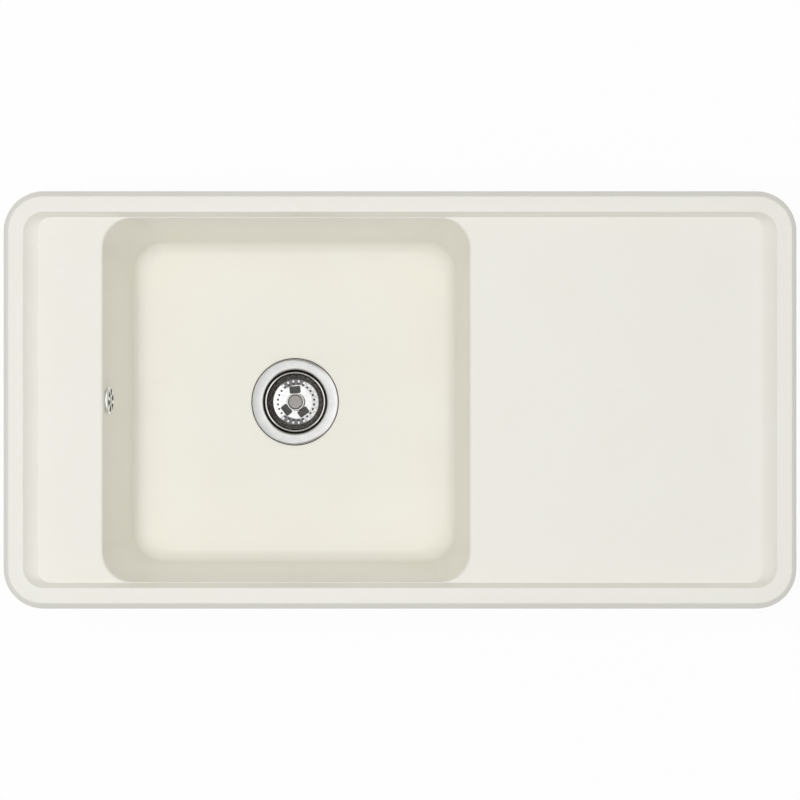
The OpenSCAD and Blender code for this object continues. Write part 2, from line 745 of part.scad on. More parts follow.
// The rubber plug: a thick middle and a thin skirt down to the dish's wall
module basket_seal() {
    edge_r_in = dish_r(plug_edge_z) - rest_gap - 0.1;
    color(black) at_drain() rotate_extrude() polygon([
        [stem_d / 2, plug_low], [plug_hub_d / 2, plug_low], [edge_r_in - 1, plug_edge_z],
        [edge_r_in, plug_edge_z], [edge_r_in + 0.2, plug_edge_z + plug_edge_t / 2],
        [edge_r_in - 1.2, plug_edge_z + plug_edge_t], [plug_hub_d / 2 + 3, basket_under],
        [stem_d / 2, basket_under]
    ]);
}

module seal_washer() {
    color(steel) at_drain() tube(plug_hub_d / 2 - 1, stem_d / 2, washer_low, plug_low);
}

// The spring sleeve in the post's foot, open on one side
clip_sheet = 0.6;
module stem_clip() {
    color(brass) at_drain() difference() {
        tube(stud_d / 2 + pin_gap + clip_sheet, stud_d / 2 + pin_gap, foot_low, stud_top);
        translate([0, -1, foot_low - cut]) cube([stud_d, 2, stud_top - foot_low + 2 * cut]);
    }
}

// The bright cover, a shallow slotted cap with a hub for its screw
module overflow_cover() {
    r = cover_d / 2;
    hub = cover_screw_d / 2 + 2.6;
    color(steel) at_overflow() difference() {
        rotate_extrude() polygon([
            [r, 0], [r, 0.8], [r - 1.4, cover_h - 0.9], [r - 3.2, cover_h], [cover_screw_d + 0.2, cover_h],
            [cover_screw_d / 2 + 0.2, cover_h - cover_screw_d / 2], [cover_screw_d / 2 + 0.2, 0],
            [hub, 0], [hub, cover_h - 1.6], [r - 3.6, cover_h - 1.6], [r - 2.4, 0]
        ]);
        for (k = [0:cover_slots - 1])
            rotate([0, 0, 360 * k / cover_slots]) rotate_extrude(angle = 220 / cover_slots)
                translate([hub + 1.2, 0.4]) square([r - 3.8 - hub - 1.2, cover_h]);
    }
}

// The countersunk screw from the cover to the elbow's insert
module overflow_screw() {
    r = cover_screw_d / 2;
    color(dark_steel) at_overflow() difference() {
        rotate_extrude() polygon([
            [0, overflow_boss_top - 9], [r, overflow_boss_top - 9], [r, cover_h - r - 0.2],
            [2 * r, cover_h - 0.2], [0, cover_h - 0.2]
        ]);
        translate([-0.5, -1.6 * r, cover_h - 1]) cube([1, 3.2 * r, 1]);
    }
}

module overflow_gasket() {
    color(black) at_overflow() tube(elbow_flange_d / 2 - loose_gap, overflow_hole_d / 2, elbow_face, -wall - face_gap);
}

// The chamber behind the wall, with the screw's boss in it and its spigot down
module overflow_elbow() {
    color(white_plastic) at_overflow() union() {
        difference() {
            union() {
                rod(elbow_flange_d / 2, elbow_face - elbow_flange_t, elbow_face);
                rod(elbow_d / 2, -elbow_back, elbow_face);
                translate([elbow_end, 0, -elbow_axis]) rotate([0, 90, 0]) spigot();
            }
            rod(elbow_d / 2 - elbow_wall, elbow_wall - elbow_back, cut);
            translate([elbow_end, 0, -elbow_axis]) rotate([0, 90, 0]) spigot_way();
        }
        tube(overflow_insert_d / 2 + 2, overflow_insert_d / 2, elbow_wall / 2 - elbow_back, overflow_boss_top);
    }
}

module overflow_insert() {
    color(brass) at_overflow()
        tube(overflow_insert_d / 2, cover_screw_d / 2, overflow_boss_top - 10, overflow_boss_top);
}

// The quarter bend of the pipe, filled, at the radius r
module pipe_bend(r) {
    translate([bend_middle[0], 0, bend_middle[1]]) rotate([90, 0, 0]) rotate([0, 0, 180 + draft])
        rotate_extrude(angle = 90 - draft) translate([bend_r, 0]) circle(r);
}

// The rigid pipe from the elbow down the wall and across to the waste, with a collar
// where each straight run meets the bend, whose bore is a little narrower
module overflow_pipe() {
    color(white_plastic) difference() {
        union() {
            at_upper_spigot() rod(pipe_r, -pipe_in, upper_run - collar_t);
            at_lower_spigot() rod(pipe_r, -pipe_in, lower_run - collar_t);
            at_upper_spigot() rod(pipe_r + collar_t, upper_run - collar_l / 2, upper_run + collar_l / 2);
            at_lower_spigot() rod(pipe_r + collar_t, lower_run - collar_l / 2, lower_run + collar_l / 2);
            pipe_bend(pipe_r);
        }
        at_upper_spigot() rod(passage_r, -pipe_in - cut, upper_run + collar_t);
        at_lower_spigot() rod(passage_r, -pipe_in - cut, lower_run + collar_t);
        pipe_bend(passage_r - bend_step);
    }
}

// The rubber ring that a union nut squeezes on the pipe
module pipe_seal() {
    color(black) rotate_extrude() polygon([
        [pipe_r, 0], [spigot_d / 2 - 0.2, 0], [spigot_d / 2 - 0.2, 1],
        [pipe_r + 1.2, ring_l], [pipe_r, ring_l]
    ]);
}

// A ribbed union nut over the spigot
module pipe_nut() {
    color(white_plastic) difference() {
        union() {
            rod(nut_d / 2 - 1.2, ring_l + 2.5 - nut_l, ring_l + 2.5);
            for (k = [0:11]) rotate([0, 0, 30 * k]) translate([nut_d / 2 - 1.6, 0, 0])
                rod(1.6, ring_l + 2.5 - nut_l, ring_l + 1.5);
        }
        rod(spigot_d / 2 + 2 * face_gap, ring_l - nut_l, ring_l);
        rod(pipe_r + 0.1, ring_l - cut, ring_l + 2.5 + cut);
    }
}

module upper_pipe_seal() { at_upper_spigot() pipe_seal(); }
module lower_pipe_seal() { at_lower_spigot() pipe_seal(); }
module upper_pipe_nut() { at_upper_spigot() pipe_nut(); }
module lower_pipe_nut() { at_lower_spigot() pipe_nut(); }

sink_body();
rim_seal();
clip_inserts();
clip_screws();
strainer_dish();
flange_gasket();
waste_gasket();
waste_housing();
bolt_insert();
centre_bolt();
overflow_cover();
overflow_screw();
overflow_gasket();
overflow_elbow();
overflow_insert();
overflow_pipe();
upper_pipe_seal();
lower_pipe_seal();
upper_pipe_nut();
lower_pipe_nut();
basket_cup();
basket_knob();
basket_stem();
basket_seal();
seal_washer();
stem_clip();
claw_front_left();
claw_front_middle();
claw_front_right();
claw_back_left();
claw_back_middle();
claw_back_right();
claw_end_front();
claw_end_back();
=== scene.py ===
"""Looks of an inset kitchen sink: a cream composite moulding with its basket waste,
overflow, pipe and fixing clips, seen from straight above.

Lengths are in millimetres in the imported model's frame, and solid() makes them metres:
X runs to the drainer, Y to the back and Z up, with the worktop's surface at zero.
"""
import json
import math

import bmesh
import bpy
import numpy as np
from mathutils import Matrix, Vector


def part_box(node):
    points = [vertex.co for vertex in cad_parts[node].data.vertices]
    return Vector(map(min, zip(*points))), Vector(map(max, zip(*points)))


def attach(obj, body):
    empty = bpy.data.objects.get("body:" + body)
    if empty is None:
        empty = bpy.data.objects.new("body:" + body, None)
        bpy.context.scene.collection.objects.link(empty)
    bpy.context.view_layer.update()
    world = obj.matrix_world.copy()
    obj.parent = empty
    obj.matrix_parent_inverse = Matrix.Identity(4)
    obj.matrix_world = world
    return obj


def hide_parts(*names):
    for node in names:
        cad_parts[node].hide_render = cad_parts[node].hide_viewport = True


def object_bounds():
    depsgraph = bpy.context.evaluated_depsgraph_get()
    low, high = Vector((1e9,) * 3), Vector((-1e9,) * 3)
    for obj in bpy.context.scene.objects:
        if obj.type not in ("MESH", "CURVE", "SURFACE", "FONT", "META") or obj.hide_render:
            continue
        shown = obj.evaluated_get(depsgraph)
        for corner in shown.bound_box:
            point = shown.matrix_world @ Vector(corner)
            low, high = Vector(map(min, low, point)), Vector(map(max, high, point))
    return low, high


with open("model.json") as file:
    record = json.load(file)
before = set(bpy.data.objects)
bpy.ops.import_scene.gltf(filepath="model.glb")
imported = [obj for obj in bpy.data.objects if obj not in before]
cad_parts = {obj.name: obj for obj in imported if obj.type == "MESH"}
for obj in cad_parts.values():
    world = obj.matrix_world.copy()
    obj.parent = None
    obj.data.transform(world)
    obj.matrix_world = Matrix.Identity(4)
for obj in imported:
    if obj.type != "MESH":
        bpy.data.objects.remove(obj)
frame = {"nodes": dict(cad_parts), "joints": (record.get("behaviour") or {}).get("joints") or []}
CAD_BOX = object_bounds()
MM = 0.001


# Sizes that the pieces share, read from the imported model

def span(node):
    """The lowest and highest corners of a node as arrays, in millimetres."""
    low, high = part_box(node)
    return np.array(low) / MM, np.array(high) / MM


BODY_LOW, BODY_HIGH = span("sink_body")
SINK_W, SINK_D = (BODY_HIGH - BODY_LOW)[:2]
RIM_TOP = BODY_HIGH[2]
UNDER_Z = BODY_LOW[2]
SEAL_T = span("rim_seal")[1][2]
FLANGE_LOW, FLANGE_HIGH = span("strainer_dish")
DRAIN_X = (FLANGE_LOW[0] + FLANGE_HIGH[0]) / 2
FLANGE_R = (FLANGE_HIGH[0] - FLANGE_LOW[0]) / 2
DISH_TOP = FLANGE_HIGH[2]
CLIP_PLACES = [(j["pos_m"][0] / MM, j["pos_m"][1] / MM, 0)
               for j in frame["joints"] if j["type"] == "hinge"]

# The moulded body
CORNER_R = 48
CORNER_SHRINK = 0.46
WALL = 8
EDGE_R = 7.5
BEVEL = [(9.5, 0, 0), (7.0, 0, 1.2), (0.9, 7.1, 0.6), (0, 8.6, 0)]  # inset, drop, corner radius
LOW_EDGE_R = 0.8
RIM_END_W = 16.9
RIM_LONG_W = 18
COVE_END_W = 15.6
COVE_LONG_W = 5
COVE_FOOT = 0.5
TRAY_Z = RIM_TOP - 13.5
DRAINER_RISE = 2.5
BOWL_W = 448
BOWL_LEDGE = 0.2
DRAFT = math.radians(3.5)
LIP_R = 4
LONG_LIP_W = 1
MOUTH_CORNER_R = 36
FLOOR_CORNER_R = 42
FLOOR_FILLET = 16
FLOOR_T = 11
FLOOR_FALL = 2
SKIRT_INSET = 13
FLANGE_PROUD = 0.5
SEAT_DEPTH = 2
SEAT_R = FLANGE_R + 1.15
DRAIN_HOLE_R = 45
DRAIN_Z = DISH_TOP - FLANGE_PROUD
FOOT_Z = DRAIN_Z + FLOOR_FALL
CREST_END = EDGE_R + RIM_END_W
CREST_LONG = EDGE_R + RIM_LONG_W
FOOT_END = CREST_END + COVE_END_W
FOOT_LONG = CREST_LONG + COVE_LONG_W
FOOT_X = SINK_W / 2 - FOOT_END
LIP_OVER = (LIP_R - LONG_LIP_W) * math.cos(DRAFT)
BOWL_D = SINK_D - 2 * (FOOT_LONG + BOWL_LEDGE - LIP_OVER)
MOUTH_X1 = DRAIN_X - BOWL_W / 2
MOUTH_X2 = DRAIN_X + BOWL_W / 2


# Meshes

MERGE_REACH = 1e-6


def grid_faces(rows, cols, wrap_rows=False, wrap_cols=True):
    """Quads of a grid of points that are numbered row after row."""
    i = np.arange(rows if wrap_rows else rows - 1)[:, None]
    j = np.arange(cols if wrap_cols else cols - 1)[None, :]
    up, along = (i + 1) % rows, (j + 1) % cols
    quads = [i * cols + j, up * cols + j, up * cols + along, i * cols + along]
    return np.stack(np.broadcast_arrays(*quads), -1).reshape(-1, 4).tolist()


def solid(name, points, faces, crease=40):
    """A mesh object of points in millimetres, its doubles merged and its faces turned
    outwards, shaded smooth where faces meet at less than crease degrees."""
    mesh = bpy.data.meshes.new(name)
    mesh.from_pydata((np.asarray(points) * MM).tolist(), [], faces)
    tidy = bmesh.new()
    tidy.from_mesh(mesh)
    bmesh.ops.remove_doubles(tidy, verts=tidy.verts, dist=MERGE_REACH)
    bmesh.ops.dissolve_degenerate(tidy, edges=tidy.edges, dist=1e-7)
    if tidy.calc_volume(signed=True) < 0:
        bmesh.ops.reverse_faces(tidy, faces=tidy.faces)
    tidy.to_mesh(mesh)
    tidy.free()
    obj = bpy.data.objects.new(name, mesh)
    bpy.context.scene.collection.objects.link(obj)
    smooth(obj, crease)
    return obj


def skin(name, rows, crease):
    """A closed solid from rows of points: each row is a loop, and the last row is joined to
    the first."""
    return solid(name, np.concatenate(rows), grid_faces(len(rows), len(rows[0]), wrap_rows=True), crease)


def smooth(obj, crease):
    """Shades an object smooth, with edges sharper than crease degrees left sharp."""
    obj.data.polygons.foreach_set("use_smooth", np.ones(len(obj.data.polygons), bool))
    obj.data.set_sharp_from_angle(angle=math.radians(crease))


def settle(obj):
    """Applies an object's modifiers to its mesh."""
    seen = obj.evaluated_get(bpy.context.evaluated_depsgraph_get())
    made = bpy.data.meshes.new_from_object(seen)
    obj.modifiers.clear()
    obj.data = made


def carve(obj, tool, operation="DIFFERENCE", crease=50):
    """Takes a closed tool away from an object or adds it, and removes the tool."""
    cut = obj.modifiers.new(operation, "BOOLEAN")
    cut.operation = operation
    cut.object = tool
    cut.solver = "EXACT"
    settle(obj)
    bpy.data.objects.remove(tool)
    smooth(obj, crease)


def rounded(points, steps=4):
    """A profile of rows of x, y and corner radius, with each corner replaced by a curve
    that leaves and arrives along its two sides."""
    rows = np.asarray(points, float)
    made = []
    for k, (x, y, r) in enumerate(rows):
        here = np.array([x, y])
        if r == 0 or k in (0, len(rows) - 1):
            made.append(here[None])
            continue
        before, after = rows[k - 1, :2] - here, rows[k + 1, :2] - here
        before *= min(r / np.linalg.norm(before), 0.48)
        after *= min(r / np.linalg.norm(after), 0.48)
        t = np.linspace(0, 1, steps + 1)[:, None]
        made.append(here + (1 - t) ** 2 * before + t ** 2 * after)
    return np.concatenate(made)


def bead(x, y, r, start, end, n=13):
    """Profile rows on an arc round x, y from the angle start to end, in degrees."""
    a = np.radians(np.linspace(start, end, n))
    return np.stack([x + r * np.cos(a), y + r * np.sin(a), 0 * a], -1).tolist()


def run(r, z1, z2, pitch):
    """Profile rows up a cylinder from z1 to z2, six to each pitch, for a thread."""
    n = max(2, round(6 * abs(z2 - z1) / pitch))
    return [[r, z, 0] for z in np.linspace(z1, z2, n)]


def turned(profile, sides=96, shape=None):
    """Points and faces of a profile of radius and height turned round the Z axis. A
    profile that starts on the axis ends there, and any other closes on itself. The
    function shape changes the radii, given radius, angle and height."""
    a = np.linspace(0, 2 * math.pi, sides, endpoint=False)[None, :]
    r, z = profile[:, 0, None] + 0 * a, profile[:, 1, None] + 0 * a
    if shape:
        r = shape(r, a, z)
    points = np.stack([r * np.cos(a), r * np.sin(a), z], -1).reshape(-1, 3)
    return points, grid_faces(len(profile), sides, wrap_rows=profile[0, 0] > 0)


def placed(points, matrix):
    """Points in a piece's own frame, carried to the model's by a 4 by 4 matrix."""
    m = np.array(matrix)
    return points @ m[:3, :3].T + m[:3, 3]


def lathe(name, profile, matrix, sides=96, steps=4, crease=40, shape=None):
    """A solid turned from a profile of radius, height and corner radius."""
    points, faces = turned(rounded(profile, steps), sides, shape)
    return solid(name, placed(points, matrix), faces, crease)


def shafts(name, profile, places, sides=48, steps=2, crease=40, shape=None):
    """One mesh of copies of a turned solid, with its frame's origin at each place."""
    points, faces = turned(rounded(profile, steps), sides, shape)
    count = len(points)
    every = np.concatenate([points + np.asarray(p, float) for p in places])
    copies = [[i + k * count for i in f] for k in range(len(places)) for f in faces]
    return solid(name, every, copies, crease)


def prisms(name, outline, matrices, z1, z2, crease=40):
    """Copies of a closed prism, an outline of x and y from z1 to z2, in several frames."""
    n = len(outline)
    ends = [np.column_stack([outline, np.full(n, z)]) for z in (z1, z2)]
    one = np.concatenate(ends)
    faces = [list(range(n))[::-1], list(range(n, 2 * n))]
    faces += [[j, (j + 1) % n, n + (j + 1) % n, n + j] for j in range(n)]
    points = np.concatenate([placed(one, m) for m in matrices])
    every = [[i + 2 * n * k for i in f] for k in range(len(matrices)) for f in faces]
    return solid(name, points, every, crease)


def disc(r, x=0.0, sides=24):
    """The outline of a circle whose middle is at x."""
    a = np.linspace(0, 2 * math.pi, sides, endpoint=False)
    return np.stack([x + r * np.cos(a), r * np.sin(a)], -1)


def plate(x1, x2, y1, y2, r, n=4):
    """The outline of a rectangle with round corners."""
    return np.concatenate([arc(x2 - r, y2 - r, r, 0, n), arc(x1 + r, y2 - r, r, 90, n),
                           arc(x1 + r, y1 + r, r, 180, n), arc(x2 - r, y1 + r, r, 270, n)])


def sector(r1, r2, turn, n=12):
    """The outline of a stretch of a ring from r1 to r2, from the X axis round by turn."""
    a = np.radians(np.linspace(0, turn, n))
    rim = np.stack([np.cos(a), np.sin(a)], -1)
    return np.concatenate([r1 * rim[::-1], r2 * rim])


def turns(matrix, count, start=0.0):
    """Frames turned round the Z axis of a frame by equal steps."""
    return [matrix @ Matrix.Rotation(math.radians(start + 360 * k / count), 4, "Z") for k in range(count)]


def threaded(r_full, depth, pitch, z1, z2):
    """A shape that cuts a rounded thread into radii of r_full and more between z1 and z2:
    the depth falls and rises once for each pitch along Z and each turn."""
    def shape(r, a, z):
        wave = 0.5 - 0.5 * np.cos(2 * math.pi * z / pitch - a)
        ends = np.clip(np.minimum(z - z1, z2 - z) / pitch, 0, 1)
        return np.where(r >= r_full - 0.01, r - depth * ends * wave ** 0.7, r)
    return shape


# The body's skin: rows of points from the waste's seat up the bowl, over the tray and
# the rim, and back below to the seat. A row has these counts of points on its ends, on its
# length, and before, on and after each corner's arc.

SIDE_N, LONG_N = 9, 14
BIT_N, ARC_N, EDGE_N = 4, 18, 12
ZONE_N = BIT_N + ARC_N + EDGE_N


def between(a, b, n, first=True, last=True):
    """n points on the line from a to b, with or without its ends."""
    t = np.linspace(0, 1, n + (not first) + (not last))
    t = t[0 if first else 1:len(t) if last else -1, None]
    return (1 - t) * np.array(a, float) + t * np.array(b, float)


def arc(x, y, r, start, n):
    """n points on a quarter circle round x, y from the angle start, in degrees."""
    a = np.radians(np.linspace(start, start + 90, n))
    return np.stack([x + r * np.cos(a), y + r * np.sin(a)], -1)


def loop(x1, x2, hy, r, corner=None):
    """A rectangle with round corners from x1 to x2 and hy to each side, anticlockwise.
    Where corner gives x1, x2 and y of the corners that face it in the bowl's mouth, the
    points of each corner start and end level with those."""
    if corner is None:
        back_right = arc(x2 - r, hy - r, r, 0, ZONE_N)
        back_left = arc(x1 + r, hy - r, r, 90, ZONE_N)
    else:
        c1, c2, cy = corner
        back_right = np.concatenate([
            between((x2, cy), (x2, hy - r), BIT_N, last=False),
            arc(x2 - r, hy - r, r, 0, ARC_N),
            between((x2 - r, hy), (c2, hy), EDGE_N, first=False)])
        back_left = np.concatenate([
            between((c1, hy), (x1 + r, hy), EDGE_N, last=False),
            arc(x1 + r, hy - r, r, 90, ARC_N),
            between((x1, hy - r), (x1, cy), BIT_N, first=False)])
    back = np.concatenate([
        back_right,
        between(back_right[-1], back_left[0], LONG_N, first=False, last=False),
        back_left,
        between(back_left[-1], back_left[-1] * (1, -1), SIDE_N, first=False, last=False)])
    front_left = back_left[::-1] * (1, -1)
    front_right = back_right[::-1] * (1, -1)
    front = np.concatenate([
        front_left,
        between(front_left[-1], front_right[0], LONG_N, first=False, last=False),
        front_right,
        between(front_right[-1], back_right[0], SIDE_N, first=False, last=False)])
    return np.concatenate([back, front])


MOUTH_CORNERS = (MOUTH_X1 + MOUTH_CORNER_R, MOUTH_X2 - MOUTH_CORNER_R,
                 BOWL_D / 2 - LIP_OVER - MOUTH_CORNER_R)


def rise(x):
    """Height of the tray above its height beside the bowl, which grows along the drainer."""
    return np.clip(DRAINER_RISE * (x - MOUTH_X2) / (FOOT_X - MOUTH_X2), 0, None)


def lifted(flat, z, share=0.0):
    """A loop of points at height z, plus a share of the tray's rise."""
    return np.column_stack([flat, z + share * rise(flat[:, 0])])


def rim_row(end, side, z, share=0.0):
    """A row inset from the rim's outline by end at the ends and side along the length. The
    radius of its corners is the outline's less CORNER_SHRINK times the sum of the insets."""
    half = SINK_W / 2 - end
    flat = loop(-half, half, SINK_D / 2 - side, CORNER_R - CORNER_SHRINK * (end + side), MOUTH_CORNERS)
    return lifted(flat, z, share)


def bowl_row(inset, z, out=0.0):
    """A row inset from the bowl's mouth, whose corners grow with depth."""
    share = max(0, (TRAY_Z - z) / (TRAY_Z - FOOT_Z))
    r = MOUTH_CORNER_R + (FLOOR_CORNER_R - MOUTH_CORNER_R) * share + out
    return lifted(loop(MOUTH_X1 + inset, MOUTH_X2 - inset, BOWL_D / 2 - inset, r), z)


def lip_row(a):
    """A row of the mouth's round edge, where the surface leans by the angle a. The edge is
    narrower along the two long sides."""
    side = LIP_OVER + LONG_LIP_W * math.sin(a)
    x1, x2 = MOUTH_X1 + LIP_R * math.sin(a), MOUTH_X2 - LIP_R * math.sin(a)
    return lifted(loop(x1, x2, BOWL_D / 2 - side, MOUTH_CORNER_R), TRAY_Z - LIP_R * (1 - math.cos(a)))


def round_row(like, r, z):
    """A circle round the waste, its points at the same angles as another row's."""
    a = np.arctan2(like[:, 1], like[:, 0] - DRAIN_X)
    return np.column_stack([DRAIN_X + r * np.cos(a), r * np.sin(a), 0 * a + z])


def blended(a, b, shares):
    """Rows on the way from row a to row b."""
    return [(1 - t) * a + t * b for t in shares]


def wall_inset(z):
    """Inset of the bowl's inner wall from its mouth at height z."""
    return LIP_R * math.cos(DRAFT) + (LIP_Z - z) * math.tan(DRAFT)


LIP_Z = TRAY_Z - LIP_R * (1 - math.sin(DRAFT))
FILLET_TOP = FOOT_Z + FLOOR_FILLET * (1 - math.sin(DRAFT))
FILLET_INSET = wall_inset(FILLET_TOP) + FLOOR_FILLET * math.cos(DRAFT)
TURN = math.pi / 2 - DRAFT
TRAY_UNDER = TRAY_Z - WALL
UNDER_ROUND = 3


def inner_rows():
    """From the waste's seat over the floor and up the wall to the mouth."""
    foot = bowl_row(FILLET_INSET, FOOT_Z)
    seat = [round_row(foot, r, z) for r, z in (
        (DRAIN_HOLE_R, DRAIN_Z - SEAT_DEPTH), (SEAT_R, DRAIN_Z - SEAT_DEPTH),
        (SEAT_R, DRAIN_Z - 0.7), (SEAT_R + 0.2, DRAIN_Z - 0.2), (SEAT_R + 0.8, DRAIN_Z))]
    floor = []
    for t in np.linspace(0, 1, 16)[1:]:
        row = (1 - t) * seat[-1] + t * foot
        row[:, 2] = DRAIN_Z + FLOOR_FALL * t * t * (3 - 2 * t)
        floor.append(row)
    fillet = [bowl_row(FILLET_INSET - FLOOR_FILLET * math.sin(a), FOOT_Z + FLOOR_FILLET * (1 - math.cos(a)))
              for a in np.linspace(0, TURN, 16)[1:]]
    wall = [bowl_row(wall_inset(z), z) for z in np.linspace(FILLET_TOP, LIP_Z, 26)[1:-1]]
    lip = [lip_row(a) for a in np.linspace(TURN, 0, 9)]
    return seat + floor + fillet + wall + lip


def slope_row(f):
    """A row of the slope from the tray to the rim. At the ends its height is COVE_FOOT of
    the share f of its width plus the rest of f squared, and along the length it is straight."""
    g = COVE_FOOT * f + (1 - COVE_FOOT) * f * f
    return rim_row(FOOT_END - f * COVE_END_W, FOOT_LONG - g * COVE_LONG_W,
                   (1 - g) * TRAY_Z + g * RIM_TOP, 1 - g)


def outer_rows(mouth):
    """From the mouth over the tray, up the slope and round the rim to the skirt's foot."""
    foot = rim_row(FOOT_END + 1, FOOT_LONG + 0.06, TRAY_Z, 1)
    tray = [lifted(row[:, :2], TRAY_Z, 1) for row in blended(mouth, foot, np.linspace(0, 1, 13)[1:])]
    slope = [slope_row(f) for f in np.concatenate([[0, 0.05, 0.1], np.linspace(0.18, 0.92, 11)])]
    top = [rim_row(CREST_END - e, CREST_LONG - s, RIM_TOP - drop, drop / (RIM_TOP - TRAY_Z))
           for e, s, drop in ((-0.7, -0.3, 0.55), (-0.1, 0, 0.2), (0.5, 0.3, 0.05), (1.3, 0.7, 0))]
    flat = [rim_row(i, i, RIM_TOP) for i in (16, 12, BEVEL[0][0])]
    edge = [rim_row(inset, inset, RIM_TOP - drop) for inset, drop in rounded(BEVEL, 5)[1:]]
    low = []
    for a in np.linspace(0, math.pi / 2, 4):
        inset = LOW_EDGE_R * (1 - math.cos(a))
        low.append(rim_row(inset, inset, SEAL_T + LOW_EDGE_R * (1 - math.sin(a))))
    skirt = [rim_row(i, i, SEAL_T) for i in (4, SKIRT_INSET - 1, SKIRT_INSET)]
    skirt += [rim_row(SKIRT_INSET + i, SKIRT_INSET + i, z, s)
              for i, z, s in ((0.6, SEAL_T - 0.8, 0), (2, TRAY_UNDER + 2, 1), (2.8, TRAY_UNDER + 0.8, 1),
                              (4, TRAY_UNDER, 1))]
    return tray + slope + top + flat + edge + low + skirt


def lower_rows(skirt):
    """From the skirt's foot under the tray and down the bowl's outside to the hole."""
    def out(z):
        return wall_inset(z) - WALL / math.cos(DRAFT)

    first = bowl_row(out(TRAY_UNDER) - UNDER_ROUND, TRAY_UNDER, WALL)
    tray = [lifted(row[:, :2], TRAY_UNDER, 1) for row in blended(skirt, first, np.linspace(0, 1, 9)[1:-1])]
    tray.append(first)
    turn_z = TRAY_UNDER - UNDER_ROUND
    turn = [bowl_row(out(turn_z) - UNDER_ROUND * (1 - math.sin(a)),
                     TRAY_UNDER - UNDER_ROUND * (1 - math.cos(a)), WALL)
            for a in np.linspace(0, TURN, 5)[1:]]
    wall = [bowl_row(out(z), z, WALL) for z in np.linspace(turn_z - 1, FILLET_TOP, 12)]
    fillet = [bowl_row(FILLET_INSET - (FLOOR_FILLET + WALL) * math.sin(a),
                       FOOT_Z + FLOOR_FILLET - (FLOOR_FILLET + FLOOR_T) * math.cos(a), WALL)
              for a in np.linspace(TURN, 0, 12)[1:]]
    hole = round_row(fillet[-1], DRAIN_HOLE_R + 0.8, UNDER_Z)
    bottom = blended(fillet[-1], hole, np.linspace(0, 1, 11)[1:])
    bore = [round_row(hole, DRAIN_HOLE_R, z) for z in (UNDER_Z + 0.8, (UNDER_Z + DRAIN_Z) / 2)]
    return tray + turn + wall + fillet + bottom + bore


# Frames and sizes of the waste, from the lowest height of the bowl's floor

def standing(x, y, z, turn=0.0, axis="Y"):
    """The frame of a piece that stands at a place, turned about an axis in degrees."""
    return Matrix.Translation((x, y, z)) @ Matrix.Rotation(math.radians(turn), 4, axis)


AT_DRAIN = standing(DRAIN_X, 0, DRAIN_Z)
THROAT_R = 41.5
THROAT_LOW = FLANGE_PROUD - 14
DISH_T = 1
DISH_FLOOR_R = 34
DISH_FLOOR = FLANGE_PROUD - 40
DISH_UNDER = DISH_FLOOR - DISH_T
BOWL_UNDER = UNDER_Z - DRAIN_Z
GASKET_IN_R, GASKET_OUT_R = 45.5, 54.5
HOUSING_TOP = BOWL_UNDER - 3
HOUSING_FLANGE_R = 56.5
HOUSING_THROAT_R = 44.5
HOUSING_WALL = 3
CHAMBER_R = 37
CHAMBER_FLOOR = DISH_UNDER - 24
OUTLET_R, OUTLET_BORE_R, OUTLET_PITCH = 23.9, 20, 2.31
OUTLET_END = CHAMBER_FLOOR - 28
HUB_R = 8
HUB_TOP = CHAMBER_FLOOR + 4
HUB_LOW = HUB_TOP - 18
BOLT_R, BOLT_PITCH = 3, 1
BOLT_HEAD_R = 7.5
BOLT_HEAD_TOP = DISH_FLOOR + 3
BOLT_THREAD_TOP = -54
BOLT_INSERT_R = 5
BASKET_RIM = FLANGE_PROUD - 3
BASKET_FLOOR = BASKET_RIM - 21
BASKET_T = 0.8
BASKET_UNDER = BASKET_FLOOR - BASKET_T
BASKET_RIM_R = 38.2
BEAD_R = 1.1
KNOB_TOP = BASKET_FLOOR + 16
POST_TOP = KNOB_TOP - 14
STEM_R = 3.5
PLUG_LOW = BASKET_UNDER - 3.4
SKIRT_LOW = PLUG_LOW - 1.6
WASHER_R = 12
WASHER_LOW = PLUG_LOW - 1.2
SOCKET_TOP = WASHER_LOW - 1.6
STUD_TOP = SOCKET_TOP - 0.5
SOCKET_R, SLEEVE_R = 3.68, 3.08
FOOT_R = 6.5
FOOT_LOW = DISH_FLOOR + 3.2

# Frames and sizes of the overflow, with Z into the bowl and X down along its wall
ELBOW_FLANGE_R = 17.5
OVERFLOW_Z = TRAY_UNDER - UNDER_ROUND - 0.6 - ELBOW_FLANGE_R
OVERFLOW_X = MOUTH_X1 + wall_inset(OVERFLOW_Z)
AT_OVERFLOW = standing(OVERFLOW_X, 0, OVERFLOW_Z, 90 - math.degrees(DRAFT))
OVERFLOW_HOLE_R = 13
COVER_R, COVER_H = 18, 3.6
COVER_SCREW_R = 2.5
ELBOW_FACE = -WALL - 2.5
ELBOW_R, ELBOW_WALL = 16.5, 2.5
SPIGOT_R, SPIGOT_L, SPIGOT_PITCH = 14, 26, 2
SEAL_RING_R = 13.8
NUT_R, NUT_GRIP_R, NUT_BORE_R = 17.5, 16.3, 14.1
NUT_LOW, NUT_TOP = -13.5, 6.5
RIB_H = 1.2
ELBOW_AXIS = WALL + NUT_R + 3
ELBOW_BACK = ELBOW_AXIS + SPIGOT_R + ELBOW_WALL
ELBOW_END = ELBOW_R + SPIGOT_L - 1
BOSS_TOP = -WALL - 6
SOCKET_L = 16
PIPE_R, PIPE_BORE_R = 11, 9
BEND_R = 45
AT_UPPER_SPIGOT = AT_OVERFLOW @ standing(ELBOW_END, 0, -ELBOW_AXIS, 90)
UPPER_END = np.array(AT_UPPER_SPIGOT.translation)
LOWER_END = np.array([DRAIN_X - CHAMBER_R - HOUSING_WALL - SPIGOT_L, 0, DRAIN_Z + DISH_UNDER - 12])
AT_LOWER_SPIGOT = standing(*LOWER_END, -90)

